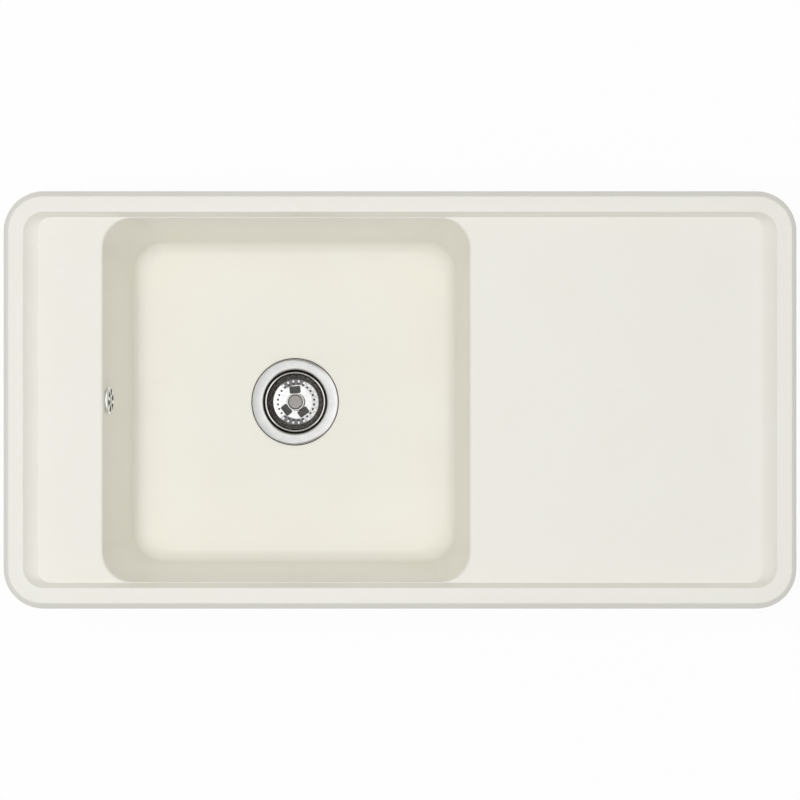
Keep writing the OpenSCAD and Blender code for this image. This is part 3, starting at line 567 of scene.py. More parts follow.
# The clips
CLAW_NODES = sorted(n for n in frame["nodes"] if n.startswith("claw_"))
CLAW_EDGE_R = 0.35
BOSS_R, BOSS_FOOT_R = 10, 13
BOSS_Z = TRAY_UNDER - 14
INSERT_TOP = BOSS_Z + 12
SCREW_HEAD_Z = -54.2
SCREW_HEAD_R = 5
SCREW_R, SCREW_PITCH = 2.5, 0.8
INSERT_R = 3.6


# The moulded body and its seal

def make_body():
    """The moulded body: its skin, the bosses under the tray and the overflow's hole."""
    rows = inner_rows()
    rows += outer_rows(rows[-1])
    rows += lower_rows(rows[-1])
    body = skin("moulded_body", rows, 50)
    lifts = [(x, y, rise(np.array([x]))[0]) for x, y, _ in CLIP_PLACES]
    boss = [(0, BOSS_Z, 0), (BOSS_R - 0.1, BOSS_Z, 0.6), (BOSS_R, -11, 3), (BOSS_FOOT_R, TRAY_UNDER, 2),
            (BOSS_FOOT_R, -5, 0), (0, -5, 0)]
    points, faces = turned(rounded(boss), 48)
    low = points[:, 2] < TRAY_UNDER - 2
    every = np.concatenate([points + np.where(low[:, None], (x, y, 0), (x, y, up)) for x, y, up in lifts])
    copies = [[i + k * len(points) for i in f] for k in range(len(lifts)) for f in faces]
    carve(body, solid("bosses", every, copies), "UNION")
    bore = [(0, BOSS_Z - 1, 0), (4.4, BOSS_Z - 1, 0), (INSERT_R, BOSS_Z + 0.4, 0),
            (INSERT_R, INSERT_TOP, 0), (0, INSERT_TOP, 0)]
    carve(body, shafts("bores", bore, CLIP_PLACES, 32))
    wide = OVERFLOW_HOLE_R + 4
    hole = [(0, -WALL - 4, 0), (wide, -WALL - 4, 0), (OVERFLOW_HOLE_R, -WALL + 0.6, 0),
            (OVERFLOW_HOLE_R, -1, 0), (wide, 4, 0), (0, 4, 0)]
    carve(body, lathe("hole", hole, AT_OVERFLOW, 64))
    return body


def make_rim_seal():
    """The foam strip under the rim: a soft oblong section carried round the outline."""
    section = rounded([(3, 1, 0), (3, 2, 0.3), (7, 2, 0), (11, 2, 0.3), (11, 1, 0), (11, 0, 0.6),
                       (7, 0, 0), (3, 0, 0.6)], 3)
    return skin("foam_strip", [rim_row(inset, inset, z) for inset, z in section], 60)


# The waste

def make_dish():
    """The pressed flange, throat and dish, with the ring of water holes in its floor."""
    hole_r, out_r = BOLT_R + 0.2, THROAT_R + DISH_T
    dish = lathe("dish_pressing", [
        (hole_r, DISH_FLOOR - 0.5, 0), (hole_r, DISH_UNDER, 0.2), (34.6, DISH_UNDER, 3), (out_r, -14.2, 3),
        (out_r, -0.7, 0.8), (55.7, -0.7, 0.15), (FLANGE_R, -0.55, 0.15), (FLANGE_R, -0.2, 0.2),
        (55.2, 0.28, 0.8), (52, 0.44, 2), (48, DISH_TOP - DRAIN_Z, 2), (43.2, 0.46, 0.6),
        (42.1, -0.6, 0.5), (THROAT_R, -2.6, 0.6), (THROAT_R, THROAT_LOW, 3),
        (DISH_FLOOR_R, DISH_FLOOR, 3), (hole_r, DISH_FLOOR, 0.2)], AT_DRAIN, 180, 6, 50)
    carve(dish, prisms("water_holes", disc(6, 22), turns(AT_DRAIN, 8), DISH_UNDER - 1, DISH_FLOOR + 1))
    return dish


def ring(name, matrix, r_in, r_out, z1, z2, soft=0.4, sides=128):
    """A flat ring of rubber or metal with soft edges."""
    return lathe(name, [(r_in, (z1 + z2) / 2, 0), (r_in, z1, soft), (r_out, z1, soft), (r_out, z2, soft),
                        (r_in, z2, soft)], matrix, sides, 3)


def make_housing():
    """The cup under the bowl, with its threaded outlet, its inlet spigot and the spider
    that holds the bolt's insert."""
    low = CHAMBER_FLOOR - HOUSING_WALL
    throat_r = HOUSING_THROAT_R + HOUSING_WALL
    chamber_r = CHAMBER_R + HOUSING_WALL
    outer = [(0, HOUSING_TOP, 0), (HOUSING_FLANGE_R, HOUSING_TOP, 0.8),
             (HOUSING_FLANGE_R, HOUSING_TOP - 4, 1.2), (throat_r, HOUSING_TOP - 4, 1.5),
             (throat_r, THROAT_LOW - 3, 1.5), (chamber_r, DISH_UNDER, 4), (chamber_r, low + 1, 3),
             (36, low, 3), (26, low, 1.5), (25.2, low, 0)]
    outer += run(OUTLET_R, low - 0.8, OUTLET_END + 1.2, OUTLET_PITCH)
    outer += [(OUTLET_R - 1.2, OUTLET_END, 0), (0, OUTLET_END, 0)]
    cup = lathe("waste_cup", outer, AT_DRAIN, 144, 4, 50,
                threaded(OUTLET_R, 1.3, OUTLET_PITCH, OUTLET_END, low - 2.5))
    carve(cup, spigot("inlet", AT_LOWER_SPIGOT), "UNION")
    inner = [(0, HOUSING_TOP + 1, 0), (HOUSING_THROAT_R, HOUSING_TOP + 1, 0),
             (HOUSING_THROAT_R, THROAT_LOW, 2), (CHAMBER_R, DISH_UNDER, 3), (CHAMBER_R, CHAMBER_FLOOR, 3),
             (22, CHAMBER_FLOOR, 1), (OUTLET_BORE_R, CHAMBER_FLOOR - 2, 1),
             (OUTLET_BORE_R, OUTLET_END - 1, 0), (0, OUTLET_END - 1, 0)]
    carve(cup, lathe("inside", inner, AT_DRAIN, 144))
    carve(cup, spigot_way(AT_LOWER_SPIGOT))
    spider = lathe("hub", [(0, HUB_LOW, 0), (HUB_R, HUB_LOW, 0.8), (HUB_R, HUB_TOP, 0.8), (0, HUB_TOP, 0)],
                   AT_DRAIN, 48)
    arm = plate(HUB_R - 2, OUTLET_BORE_R + 1, -1.25, 1.25, 0.2)
    carve(spider, prisms("arms", arm, turns(AT_DRAIN, 3, 30), HUB_LOW + 0.5, CHAMBER_FLOOR), "UNION")
    carve(spider, prisms("bore", disc(BOLT_INSERT_R, 0, 48), [AT_DRAIN], HUB_LOW - 1, HUB_TOP + 1))
    carve(cup, spider, "UNION")
    return cup


def spigot(name, matrix):
    """A filled spigot with its end at the frame's zero and a thread for its nut."""
    rows = [(0, -SPIGOT_L - ELBOW_WALL, 0), (SPIGOT_R, -SPIGOT_L - ELBOW_WALL, 0)]
    rows += run(SPIGOT_R, -SPIGOT_L + 8, -1, SPIGOT_PITCH)
    rows += [(SPIGOT_R - 1, 0, 0), (0, 0, 0)]
    return lathe(name, rows, matrix, 96, 2, 50, threaded(SPIGOT_R, 0.9, SPIGOT_PITCH, -SPIGOT_L + 8, -0.5))


def spigot_way(matrix):
    """The socket for the pipe and the narrower passage behind it, as one filled tool."""
    socket_r = PIPE_R + 0.2
    low = -SPIGOT_L - 2 * ELBOW_WALL - 1
    return lathe("way", [(0, 1, 0), (socket_r, 1, 0), (socket_r, -SOCKET_L, 0), (PIPE_BORE_R, -SOCKET_L, 0),
                         (PIPE_BORE_R, low, 0), (0, low, 0)], matrix, 64)


def insert_shape(r, a, z):
    """Knurls of an insert: its outer radii carry shallow teeth round and along."""
    teeth = 0.5 - 0.5 * np.cos(24 * a + 3 * z)
    return np.where(r > 1.2 * SCREW_R, r - 0.25 * teeth, r)


def make_bolt():
    """The bolt from the dish's floor to the insert, with the stud that the basket clips on."""
    rows = [(0, HUB_LOW + 1, 0), (2.4, HUB_LOW + 1, 0)]
    rows += run(BOLT_R, HUB_LOW + 1.6, BOLT_THREAD_TOP, BOLT_PITCH)
    rows += [(BOLT_R, DISH_FLOOR, 0), (BOLT_HEAD_R, DISH_FLOOR, 0.3),
             (BOLT_HEAD_R, BOLT_HEAD_TOP - 0.5, 0.8), (BOLT_HEAD_R - 1.3, BOLT_HEAD_TOP, 0.8),
             (BOLT_R, BOLT_HEAD_TOP, 0.3), (BOLT_R, STUD_TOP - 0.8, 0.3), (2.2, STUD_TOP, 0.3),
             (0, STUD_TOP, 0)]
    return lathe("long_bolt", rows, AT_DRAIN, 48, 3, 40,
                 threaded(BOLT_R, 0.5, BOLT_PITCH, HUB_LOW + 1, BOLT_THREAD_TOP + 1))


# The basket that lifts out

WINDOW_TURNS = (95, 219, 306)
FLOOR_HOLES = 24
HOLE_CIRCLE_R = 24
BASKET_WALL_R = 30.9
BASKET_WALL_LEAN = 0.44
WALL_HOLES = 68
WALL_HOLE_ROWS = 5
WALL_HOLE_TOP, WALL_HOLE_STEP = -7.8, 2.9
KNOB_R = 11.5


def make_basket():
    """The pressed basket: a floor that dips in the middle, a steep wall with rows of fine
    holes, a rolled rim, a ring of drain holes, each through a raised oval, and three windows
    beside the knob."""
    outside = [(STEM_R, BASKET_FLOOR - 0.4, 0), (STEM_R, BASKET_UNDER, 0.1), (20, BASKET_UNDER, 6),
               (29.9, BASKET_UNDER + 0.9, 1.6), (31.6, BASKET_UNDER + 3, 1.4), (38.6, -5.1, 0.4)]
    inside = [(37.8, -5.2, 0.4), (BASKET_WALL_R, BASKET_FLOOR + 3, 0.8), (30, BASKET_FLOOR + 1.3, 0.8),
              (22, BASKET_FLOOR, 2), (STEM_R, BASKET_FLOOR, 0.1)]
    rolled = bead(BASKET_RIM_R, BASKET_RIM - BEAD_R, BEAD_R, -65, 245, 17)
    basket = lathe("perforated_cup", outside + rolled + inside, AT_DRAIN, 192, 5, 50)
    ring_frames = turns(AT_DRAIN, FLOOR_HOLES, 180 / FLOOR_HOLES)
    oval = plate(25.7, 28.9, -1.1, 1.1, 1)
    carve(basket, prisms("flats", oval, ring_frames, BASKET_FLOOR - 0.2, BASKET_FLOOR + 1.12), "UNION")
    hole = disc(1.5, HOLE_CIRCLE_R, 12)
    carve(basket, prisms("holes", hole, ring_frames, BASKET_UNDER - 1, BASKET_FLOOR + 2))
    window = plate(11.5, 21, -7.3, 7.3, 1.8)
    frames = [AT_DRAIN @ Matrix.Rotation(math.radians(t), 4, "Z") for t in WINDOW_TURNS]
    carve(basket, prisms("windows", window, frames, BASKET_UNDER - 1, BASKET_FLOOR + 1))
    frames = []
    for row in range(WALL_HOLE_ROWS):
        z = WALL_HOLE_TOP - WALL_HOLE_STEP * row
        r = BASKET_WALL_R + (z - BASKET_FLOOR - 2.7) * BASKET_WALL_LEAN
        shift = 180 / WALL_HOLES * (row % 2)
        frames += [m @ standing(r - 2, 0, z, 90) for m in turns(AT_DRAIN, WALL_HOLES, shift)]
    carve(basket, prisms("wall_holes", disc(1.15, 0, 8), frames, 0, 5))
    return basket


def make_knob():
    """The knob on its neck: a disc with a bright round edge and a groove round its face."""
    top = KNOB_TOP
    return lathe("turned_knob", [
        (0, POST_TOP, 0), (STEM_R, POST_TOP, 0), (STEM_R, BASKET_FLOOR, 0), (5.5, BASKET_FLOOR, 0.3),
        (5.5, top - 6.7, 1.6), (10.4, top - 5.6, 1), (KNOB_R, top - 4.4, 1), (KNOB_R, top - 0.8, 0.5),
        (11.1, top - 0.25, 0.2), (9.7, top - 0.25, 0.15), (9.5, top - 2.8, 0.2), (8.7, top - 2.8, 0.2),
        (8.6, top - 0.1, 0.15), (8.2, top, 0.2), (0, top, 0)], AT_DRAIN, 128, 5, 40)


def make_post():
    """The post up from its foot, with the socket that stands over the bolt's stud."""
    return lathe("post", [
        (0, SOCKET_TOP, 0), (SOCKET_R, SOCKET_TOP, 0.3), (SOCKET_R, FOOT_LOW, 0.2), (FOOT_R, FOOT_LOW, 0.6),
        (FOOT_R, WASHER_LOW, 0.3), (STEM_R, WASHER_LOW, 0), (STEM_R, POST_TOP, 0), (0, POST_TOP, 0)],
        AT_DRAIN, 64)


def make_plug():
    """The rubber plug: a thick middle with a ridge and a thin skirt to the dish's wall."""
    r = DISH_FLOOR_R + (THROAT_R - DISH_FLOOR_R) * (SKIRT_LOW - DISH_FLOOR) / (THROAT_LOW - DISH_FLOOR) - 0.3
    return lathe("rubber_plug", [
        (STEM_R, PLUG_LOW + 1, 0), (STEM_R, PLUG_LOW, 0), (12, PLUG_LOW, 0.3), (14, PLUG_LOW - 0.2, 1),
        (r - 1, SKIRT_LOW, 0.3), (r - 0.1, SKIRT_LOW, 0.3), (r + 0.15, SKIRT_LOW + 1.2, 0.4),
        (r - 1.2, SKIRT_LOW + 2.4, 0.4), (22, BASKET_UNDER - 1.2, 2), (17, BASKET_UNDER - 0.1, 0.8),
        (STEM_R, BASKET_UNDER - 0.02, 0)], AT_DRAIN, 128, 4)


def make_sleeve():
    """The spring sleeve in the post's foot: a ring with soft edges, slit on one side."""
    sleeve = ring("spring_sleeve", AT_DRAIN, SLEEVE_R, SOCKET_R - 0.02, FOOT_LOW, STUD_TOP, 0.15, 48)
    slit = prisms("slit", plate(1, 5, -1, 1, 0.1, 2), [AT_DRAIN], FOOT_LOW - 1, STUD_TOP + 1)
    carve(sleeve, slit, crease=40)
    return sleeve


# The overflow and its pipe

def make_cover():
    """The bright cover: a shallow cap with six curved slots and a dished hub."""
    r, h = COVER_R, COVER_H
    cover = lathe("slotted_cover", [
        (r - 0.6, 0, 0), (r, 0, 0.2), (r, 0.9, 0.4), (r - 1.5, h - 0.9, 1.2), (r - 3.6, h, 1.2),
        (5.6, h, 0.4), (2.8, h - 2.5, 0.2), (2.8, 0, 0.1), (5.1, 0, 0.1), (5.1, h - 1.6, 0.4),
        (r - 3.8, h - 1.6, 0.6), (r - 2.2, 0, 0.2)], AT_OVERFLOW, 128, 5, 50)
    carve(cover, prisms("slots", sector(6.3, r - 3.8, 36.7), turns(AT_OVERFLOW, 6), 0.4, h + 1))
    return cover


def make_cover_screw():
    """The countersunk screw with its slot and its thread."""
    r, low, top = COVER_SCREW_R, BOSS_TOP - 9, COVER_H - 0.2
    thread_top = BOSS_TOP + 5
    rows = [(0, low, 0), (r - 0.6, low, 0)] + run(r, BOSS_TOP - 8.3, thread_top, SCREW_PITCH)
    rows += [(r, COVER_H - r - 0.2, 0.1), (2 * r, top - 0.25, 0.1), (2 * r - 0.3, top, 0.2),
             (0, top + 0.1, 0)]
    screw = lathe("cover_screw", rows, AT_OVERFLOW, 40, 3, 40, threaded(r, 0.4, SCREW_PITCH, low, thread_top))
    groove = prisms("groove", plate(-0.5, 0.5, -6, 6, 0.05, 2), [AT_OVERFLOW], top - 1, top + 1)
    carve(screw, groove, crease=40)
    return screw


def make_elbow():
    """The chamber behind the wall, with its flange, its spigot down and the screw's boss."""
    step = ELBOW_FACE - 3
    elbow = lathe("elbow_moulding", [
        (0, -ELBOW_BACK, 0), (ELBOW_R, -ELBOW_BACK, 2.5), (ELBOW_R, step, 1), (ELBOW_FLANGE_R, step, 0.4),
        (ELBOW_FLANGE_R, ELBOW_FACE, 0.4), (0, ELBOW_FACE, 0)], AT_OVERFLOW, 96)
    carve(elbow, spigot("outlet", AT_UPPER_SPIGOT), "UNION")
    bore, back = ELBOW_R - ELBOW_WALL, ELBOW_WALL - ELBOW_BACK
    carve(elbow, lathe("inside", [(0, back, 0), (bore, back, 1.5), (bore, 0, 0), (0, 0, 0)], AT_OVERFLOW, 96))
    carve(elbow, spigot_way(AT_UPPER_SPIGOT))
    boss = ring("boss", AT_OVERFLOW, INSERT_R, INSERT_R + 2, 1.2 - ELBOW_BACK, BOSS_TOP, 0.3, 48)
    carve(elbow, boss, "UNION")
    return elbow


def make_pipe():
    """The rigid pipe: a ring of an outer and an inner radius carried down the wall, round
    a quarter bend and across to the waste, with a collar at each end of the bend."""
    lean = DRAFT
    top_z = LOWER_END[2] + BEND_R * (1 - math.sin(lean))
    upper = (UPPER_END[2] - top_z) / math.cos(lean)
    bend = np.array([UPPER_END[0] + upper * math.sin(lean) + BEND_R * math.cos(lean), LOWER_END[2] + BEND_R])
    across = LOWER_END[0] - bend[0]
    tuck = SOCKET_L - 2
    s1 = np.array([-tuck, -tuck + 0.8, 0, upper / 2, upper - 3, upper - 2.4, upper - 2, upper])
    down = np.column_stack([UPPER_END[0] + s1 * math.sin(lean), UPPER_END[2] - s1 * math.cos(lean)])
    a = np.linspace(math.pi + lean, 1.5 * math.pi, 25)
    round_part = bend + BEND_R * np.stack([np.cos(a), np.sin(a)], -1)
    s2 = np.array([0, 2, 2.4, 3, across / 2, across, across + tuck - 0.8, across + tuck])
    level = np.column_stack([bend[0] + s2, np.full(len(s2), LOWER_END[2])])
    path = np.concatenate([down, round_part[1:-1], level])
    heading = np.concatenate([np.tile((math.sin(lean), -math.cos(lean)), (len(s1), 1)),
                              np.stack([-np.sin(a), np.cos(a)], -1)[1:-1], np.tile((1.0, 0.0), (len(s2), 1))])
    wide = np.full(len(path), float(PIPE_R))
    wide[[0, -1]] -= 0.5
    first, last = len(s1), len(path) - len(s2)
    wide[first - 2:first + 2] += 1
    wide[last - 2:last + 2] += 1
    ends = np.full(len(path), float(PIPE_BORE_R))
    path = np.concatenate([path, path[::-1]])
    heading = np.concatenate([heading, heading[::-1]])
    radius = np.concatenate([wide, ends])
    t = np.linspace(0, 2 * math.pi, 48, endpoint=False)
    side = np.column_stack([heading[:, 1], -heading[:, 0]])
    x = path[:, 0, None] + radius[:, None] * np.cos(t) * side[:, 0, None]
    z = path[:, 1, None] + radius[:, None] * np.cos(t) * side[:, 1, None]
    y = radius[:, None] * np.sin(t)
    return skin("bent_pipe", np.stack([x, y, z], -1), 50)


def make_pipe_seal(name, matrix):
    """The rubber ring that a union nut squeezes on the pipe."""
    return lathe(name, [(PIPE_R, 2, 0), (PIPE_R, 0, 0), (SEAL_RING_R, 0, 0.2), (SEAL_RING_R, 1, 0.2),
                        (12.2, 4, 0.3), (PIPE_R, 4, 0)], matrix, 64)


def nut_shape(r, a, z):
    """Twelve round ribs on the outer radii of a union nut, fading out at its ends."""
    ribs = np.clip(np.cos(12 * a) * 1.6 + 0.2, 0, RIB_H)
    ends = np.clip(np.minimum(z + 13.2, 5.9 - z) / RIB_H, 0, 1)
    return np.where(r > NUT_GRIP_R - 0.1, r + ribs * ends, r)


def make_nut(name, matrix):
    """A union nut over a spigot, its grip ribs worked out from the angle."""
    rows = [(NUT_BORE_R, -8, 0), (NUT_BORE_R, NUT_LOW, 0.2), (15.7, NUT_LOW, 0.3)]
    rows += [(NUT_GRIP_R, z, 0) for z in (-13.2, -12.6, -12, -11, 3.7, 4.7, 5.3, 5.9)]
    rows += [(15.5, NUT_TOP, 0.3), (PIPE_R + 0.1, NUT_TOP, 0.3), (PIPE_R + 0.1, 4, 0.1), (NUT_BORE_R, 4, 0.1)]
    return lathe(name, rows, matrix, 144, 3, 50, nut_shape)


# The clips

def screw_shape(r, a, z):
    """A clip screw: six flats where its head is, and a thread on its shank."""
    flats = SCREW_HEAD_R * math.cos(math.pi / 6) / np.cos(a % (math.pi / 3) - math.pi / 6)
    thread = threaded(SCREW_R, 0.42, SCREW_PITCH, SCREW_HEAD_Z + 3, INSERT_TOP)
    return np.where(r > 3.2, np.minimum(r, flats), thread(r, a, z))


def make_clip_screws():
    """Eight hexagon screws, each up in its insert."""
    low = SCREW_HEAD_Z - 4
    rows = [(0, low, 0), (3.4, low, 0), (4.5, low, 0.3), (SCREW_HEAD_R, low + 0.4, 0.2),
            (SCREW_HEAD_R, SCREW_HEAD_Z, 0.1), (SCREW_R, SCREW_HEAD_Z, 0.2)]
    rows += run(SCREW_R, SCREW_HEAD_Z + 1, INSERT_TOP - 1.8, SCREW_PITCH)
    rows += [(1.9, INSERT_TOP - 1, 0), (0, INSERT_TOP - 1, 0)]
    return shafts("threaded_screws", rows, CLIP_PLACES, 24, 2, 40, screw_shape)


def make_clip_inserts():
    """Eight knurled inserts in the bosses."""
    rows = [(SCREW_R, -15, 0), (SCREW_R, BOSS_Z + 0.4, 0), (2.9, BOSS_Z, 0), (INSERT_R - 0.2, BOSS_Z, 0)]
    rows += [(INSERT_R, z, 0) for z in np.linspace(BOSS_Z + 0.3, INSERT_TOP - 0.3, 13)]
    rows += [(INSERT_R - 0.2, INSERT_TOP, 0), (SCREW_R, INSERT_TOP, 0)]
    return shafts("knurled_inserts", rows, CLIP_PLACES, 72, 2, 30, insert_shape)


def make_claw(node):
    """A pressed claw: a copy of its solid with the edges rounded as sheet metal has them."""
    claw = bpy.data.objects.new(node.replace("claw", "pressed_claw"), frame["nodes"][node].data.copy())
    bpy.context.scene.collection.objects.link(claw)
    tidy = bmesh.new()
    tidy.from_mesh(claw.data)
    bmesh.ops.remove_doubles(tidy, verts=tidy.verts, dist=MERGE_REACH)
    bmesh.ops.dissolve_limit(tidy, angle_limit=math.radians(1), verts=tidy.verts, edges=tidy.edges)
    tidy.to_mesh(claw.data)
    tidy.free()
    edge = claw.modifiers.new("edge", "BEVEL")
    edge.width = CLAW_EDGE_R * MM
    edge.segments = 3
    edge.limit_method = "ANGLE"
    edge.angle_limit = math.radians(40)
    settle(claw)
    smooth(claw, 40)
    return claw


# Finishes, all on Object coordinates

def linear(screen):
    """A colour given as it shows on a screen, from 0 to 255, as the shader wants it."""
    c = np.array(screen) / 255
    return (*np.where(c <= 0.04045, c / 12.92, ((c + 0.055) / 1.055) ** 2.4), 1)


def add(tree, kind, inputs=None, **settings):
    """A node with its settings and its inputs, each a value or another node's socket."""
    node = tree.nodes.new("ShaderNode" + kind)
    for name, value in settings.items():
        setattr(node, name, value)
    for key, value in (inputs or {}).items():
        if isinstance(value, bpy.types.NodeSocket):
            tree.links.new(value, node.inputs[key])
        else:
            node.inputs[key].default_value = value
    return node


def calc(tree, operation, a, b):
    """The result of a Math node on two numbers, each a value or a socket."""
    return add(tree, "Math", {0: a, 1: b}, operation=operation).outputs[0]


def mapped(tree, value, low, high, to_low, to_high):
    """A number carried from the range low to high to the range to_low to to_high."""
    return add(tree, "MapRange", {"Value": value, "From Min": low, "From Max": high,
                                  "To Min": to_low, "To Max": to_high}).outputs[0]


def place_on(tree, matrix=None):
    """Object coordinates in millimetres, in the frame of a piece if one is given."""
    coords = add(tree, "TexCoord").outputs["Object"]
    if matrix is not None:
        back = matrix.inverted()
        moved = add(tree, "Mapping", {"Vector": coords, "Rotation": back.to_euler(),
                                      "Location": back.translation * MM})
        coords = moved.outputs[0]
    return add(tree, "VectorMath", {0: coords, "Scale": 1000}, operation="SCALE").outputs[0]


def rings(tree, coords):
    """Coordinates that change only with the distance from the Z axis and with height, so
    that a noise on them draws the fine rings that turning and polishing leave."""
    flat = add(tree, "VectorMath", {0: coords, 1: (1, 1, 0)}, operation="MULTIPLY").outputs[0]
    reach = add(tree, "VectorMath", {0: flat}, operation="LENGTH").outputs["Value"]
    height = add(tree, "SeparateXYZ", {0: coords}).outputs["Z"]
    return add(tree, "CombineXYZ", {"X": reach, "Y": height}).outputs[0]


def noise(tree, coords, size, detail=3.0, stretch=(1, 1, 1)):
    """Noise whose features are about size millimetres wide, divided by stretch."""
    scaled = add(tree, "VectorMath", {0: coords, 1: tuple(s / size for s in stretch)}, operation="MULTIPLY")
    return add(tree, "TexNoise", {"Vector": scaled.outputs[0], "Scale": 1.0, "Detail": detail}).outputs["Fac"]


def spread(tree, value, low, high):
    """A noise's middle range, 0.3 to 0.7, stretched to low and high."""
    return mapped(tree, value, 0.3, 0.7, low, high)


def finish(name, colour, tint, roughness, *, cloud, wander, grain, swing, relief, metallic=0.0,
           matrix=None, ringed=False, stretch=(1, 1, 1), dots=0.0, dot_size=0.8, **sockets):
    """A finish. Clouds of the size cloud carry the colour a share wander of the way to
    tint, dots are small cells that each have a slightly other shade, and a fine grain moves
    the roughness by swing and raises the surface by relief, all sizes in millimetres."""
    mat = bpy.data.materials.new(name)
    mat.use_nodes = True
    tree = mat.node_tree
    shader = tree.nodes["Principled BSDF"]
    coords = place_on(tree, matrix)
    fine = rings(tree, coords) if ringed else coords
    clouds = spread(tree, noise(tree, coords, cloud), 0, wander)
    base = add(tree, "Mix", {0: clouds, 6: linear(colour), 7: linear(tint)}, data_type="RGBA").outputs[2]
    if dots:
        cells = add(tree, "TexVoronoi", {"Vector": coords, "Scale": 1 / dot_size}).outputs["Color"]
        one = add(tree, "SeparateColor", {0: cells}).outputs[0]
        shade = mapped(tree, one, 0, 1, 1 - dots, 1 + dots * 0.4)
        base = add(tree, "VectorMath", {0: base, "Scale": shade}, operation="SCALE").outputs[0]
    tree.links.new(base, shader.inputs["Base Color"])
    rough = noise(tree, fine, grain, 4, stretch)
    level = spread(tree, rough, max(0.02, roughness - swing), min(1, roughness + swing))
    tree.links.new(level, shader.inputs["Roughness"])
    bump = add(tree, "Bump", {"Height": rough, "Distance": relief * MM, "Strength": 1.0})
    tree.links.new(bump.outputs[0], shader.inputs["Normal"])
    shader.inputs["Metallic"].default_value = metallic
    for key, value in sockets.items():
        shader.inputs[key.replace("_", " ")].default_value = value
    return mat


CREAM = finish("cream_moulding", (250, 248, 239), (248, 245, 234), 0.42, cloud=90, wander=0.6,
               grain=0.5, swing=0.06, relief=0.012, dots=0.018, Coat_Weight=0.7, Coat_Roughness=0.3)
STEEL = finish("polished_steel", (229, 229, 227), (213, 213, 212), 0.12, cloud=14, wander=0.6, grain=0.35,
               swing=0.06, relief=0.002, metallic=1.0, matrix=AT_DRAIN, ringed=True)
BASKET_STEEL = finish("pressed_steel", (250, 250, 249), (228, 228, 227), 0.08, cloud=6, wander=0.5,
                      grain=0.8, swing=0.05, relief=0.006, metallic=1.0, matrix=AT_DRAIN)
# Steel of the basket's perforated wall, darkened and mottled: partly the look of perforated sheet, partly
# painted dark reflection.
SIEVE_STEEL_PAINTED_DARK = finish("sieve_steel_painted_dark", (186, 182, 176), (56, 54, 52), 0.22, cloud=2, wander=1.0, grain=0.8,
                     swing=0.15, relief=0.05, metallic=1.0, matrix=AT_DRAIN)
# Near-black steel that is painted shade and painted dark reflection, on the inside of the basket's rolled rim
# and in the knob's groove.
PAINTED_SHADE_STEEL = finish("painted_shade_steel", (58, 57, 56), (36, 35, 34), 0.4, cloud=3, wander=0.7, grain=0.6,
                    swing=0.1, relief=0.01, metallic=1.0, matrix=AT_DRAIN)
PLUG_RUBBER = finish("plug_rubber", (84, 83, 82), (112, 110, 108), 0.5, cloud=3.5, wander=0.7, grain=0.5,
                     swing=0.12, relief=0.03, matrix=AT_DRAIN)
KNOB_STEEL = finish("brushed_knob", (202, 197, 192), (158, 152, 148), 0.34, cloud=1.2, wander=0.9, grain=0.5,
                    swing=0.14, relief=0.012, metallic=1.0, matrix=AT_DRAIN, stretch=(1, 6, 1))
CHROME = finish("bright_chrome", (232, 233, 234), (222, 224, 226), 0.06, cloud=8, wander=0.5, grain=0.4,
                swing=0.03, relief=0.001, metallic=1.0, matrix=AT_OVERFLOW, ringed=True)
SCREW_STEEL = finish("slotted_steel", (190, 190, 192), (160, 160, 164), 0.22, cloud=3, wander=0.7, grain=0.3,
                     swing=0.1, relief=0.004, metallic=1.0)
ZINC = finish("zinc_plating", (176, 180, 186), (196, 190, 168), 0.33, cloud=7, wander=0.5, grain=0.5,
              swing=0.12, relief=0.005, metallic=1.0, dots=0.10, dot_size=2.2)
BRASS = finish("turned_brass", (214, 178, 96), (176, 134, 66), 0.26, cloud=2.5, wander=0.7, grain=0.3,
               swing=0.1, relief=0.004, metallic=1.0)
RUBBER = finish("black_rubber", (34, 34, 35), (58, 57, 56), 0.62, cloud=5, wander=0.6, grain=0.5,
                swing=0.12, relief=0.03)
FOAM = finish("foam_rubber", (66, 66, 68), (86, 86, 87), 0.9, cloud=4, wander=0.8, grain=0.7,
              swing=0.06, relief=0.16, dots=0.25, dot_size=0.7)
PLASTIC = finish("white_plastic", (232, 232, 228), (222, 221, 214), 0.38, cloud=25, wander=0.7, grain=1.4,
                 swing=0.06, relief=0.015)


# Camera, stage and light, in metres

CAMERA_PLACE = (0, -0.0275, 2.16)
LENS = 81.0
SHIFT_Y = 0.0286

# The floor: the half axes of the pale board, the share of them over which it fades into the
# ground, and what the camera sees, which is grey paper mixed with a white shine
FLOOR_GAP = 0.004
FLOOR_REACH = 6
BOARD_SIZE = (0.78, 0.55)
BOARD_FADE = (0.85, 1.15)
BOARD_GREY, GROUND_GREY = 0.8, 0.12
SEEN_GREY, SEEN_SHINE, SEEN_SHARE = 0.6, 1.06, 0.88

# The sky: the strength of each side patch by its direction, and of the patch overhead, and
# the powers that narrow them
SIDE_GLOWS = {(0.85, 0, 0.53): 0.53, (-0.85, 0, 0.53): 0.53, (0, 0.85, 0.53): 0.94, (0, -0.85, 0.53): 0.94}
TOP_GLOW = 4.9
SIDE_POWER, TOP_POWER = 6, 40

# What metal mirrors: how far above white it is, and where the flags and the shade at the
# left start and how much they take away
MIRROR_LIFT = 0.2
FLAG_EDGE, FLAG_SOFT, FLAG_DARK = 0.05, 0.08, 0.8
LEFT_EDGES, LEFT_SHADE = (-0.18, 0.02), 0.26

LAMP_PLACE = (-0.5, 0, 2.4)
LAMP_SIZE = 0.6
LAMP_POWER = 14.8


def make_camera():
    """The camera over the sink, looking straight down with the back of the sink up."""
    data = bpy.data.cameras.new("camera")
    data.sensor_width = 36
    data.lens = LENS
    data.shift_y = SHIFT_Y
    camera = bpy.data.objects.new("camera", data)
    camera.location = CAMERA_PLACE
    bpy.context.scene.collection.objects.link(camera)
    bpy.context.scene.camera = camera


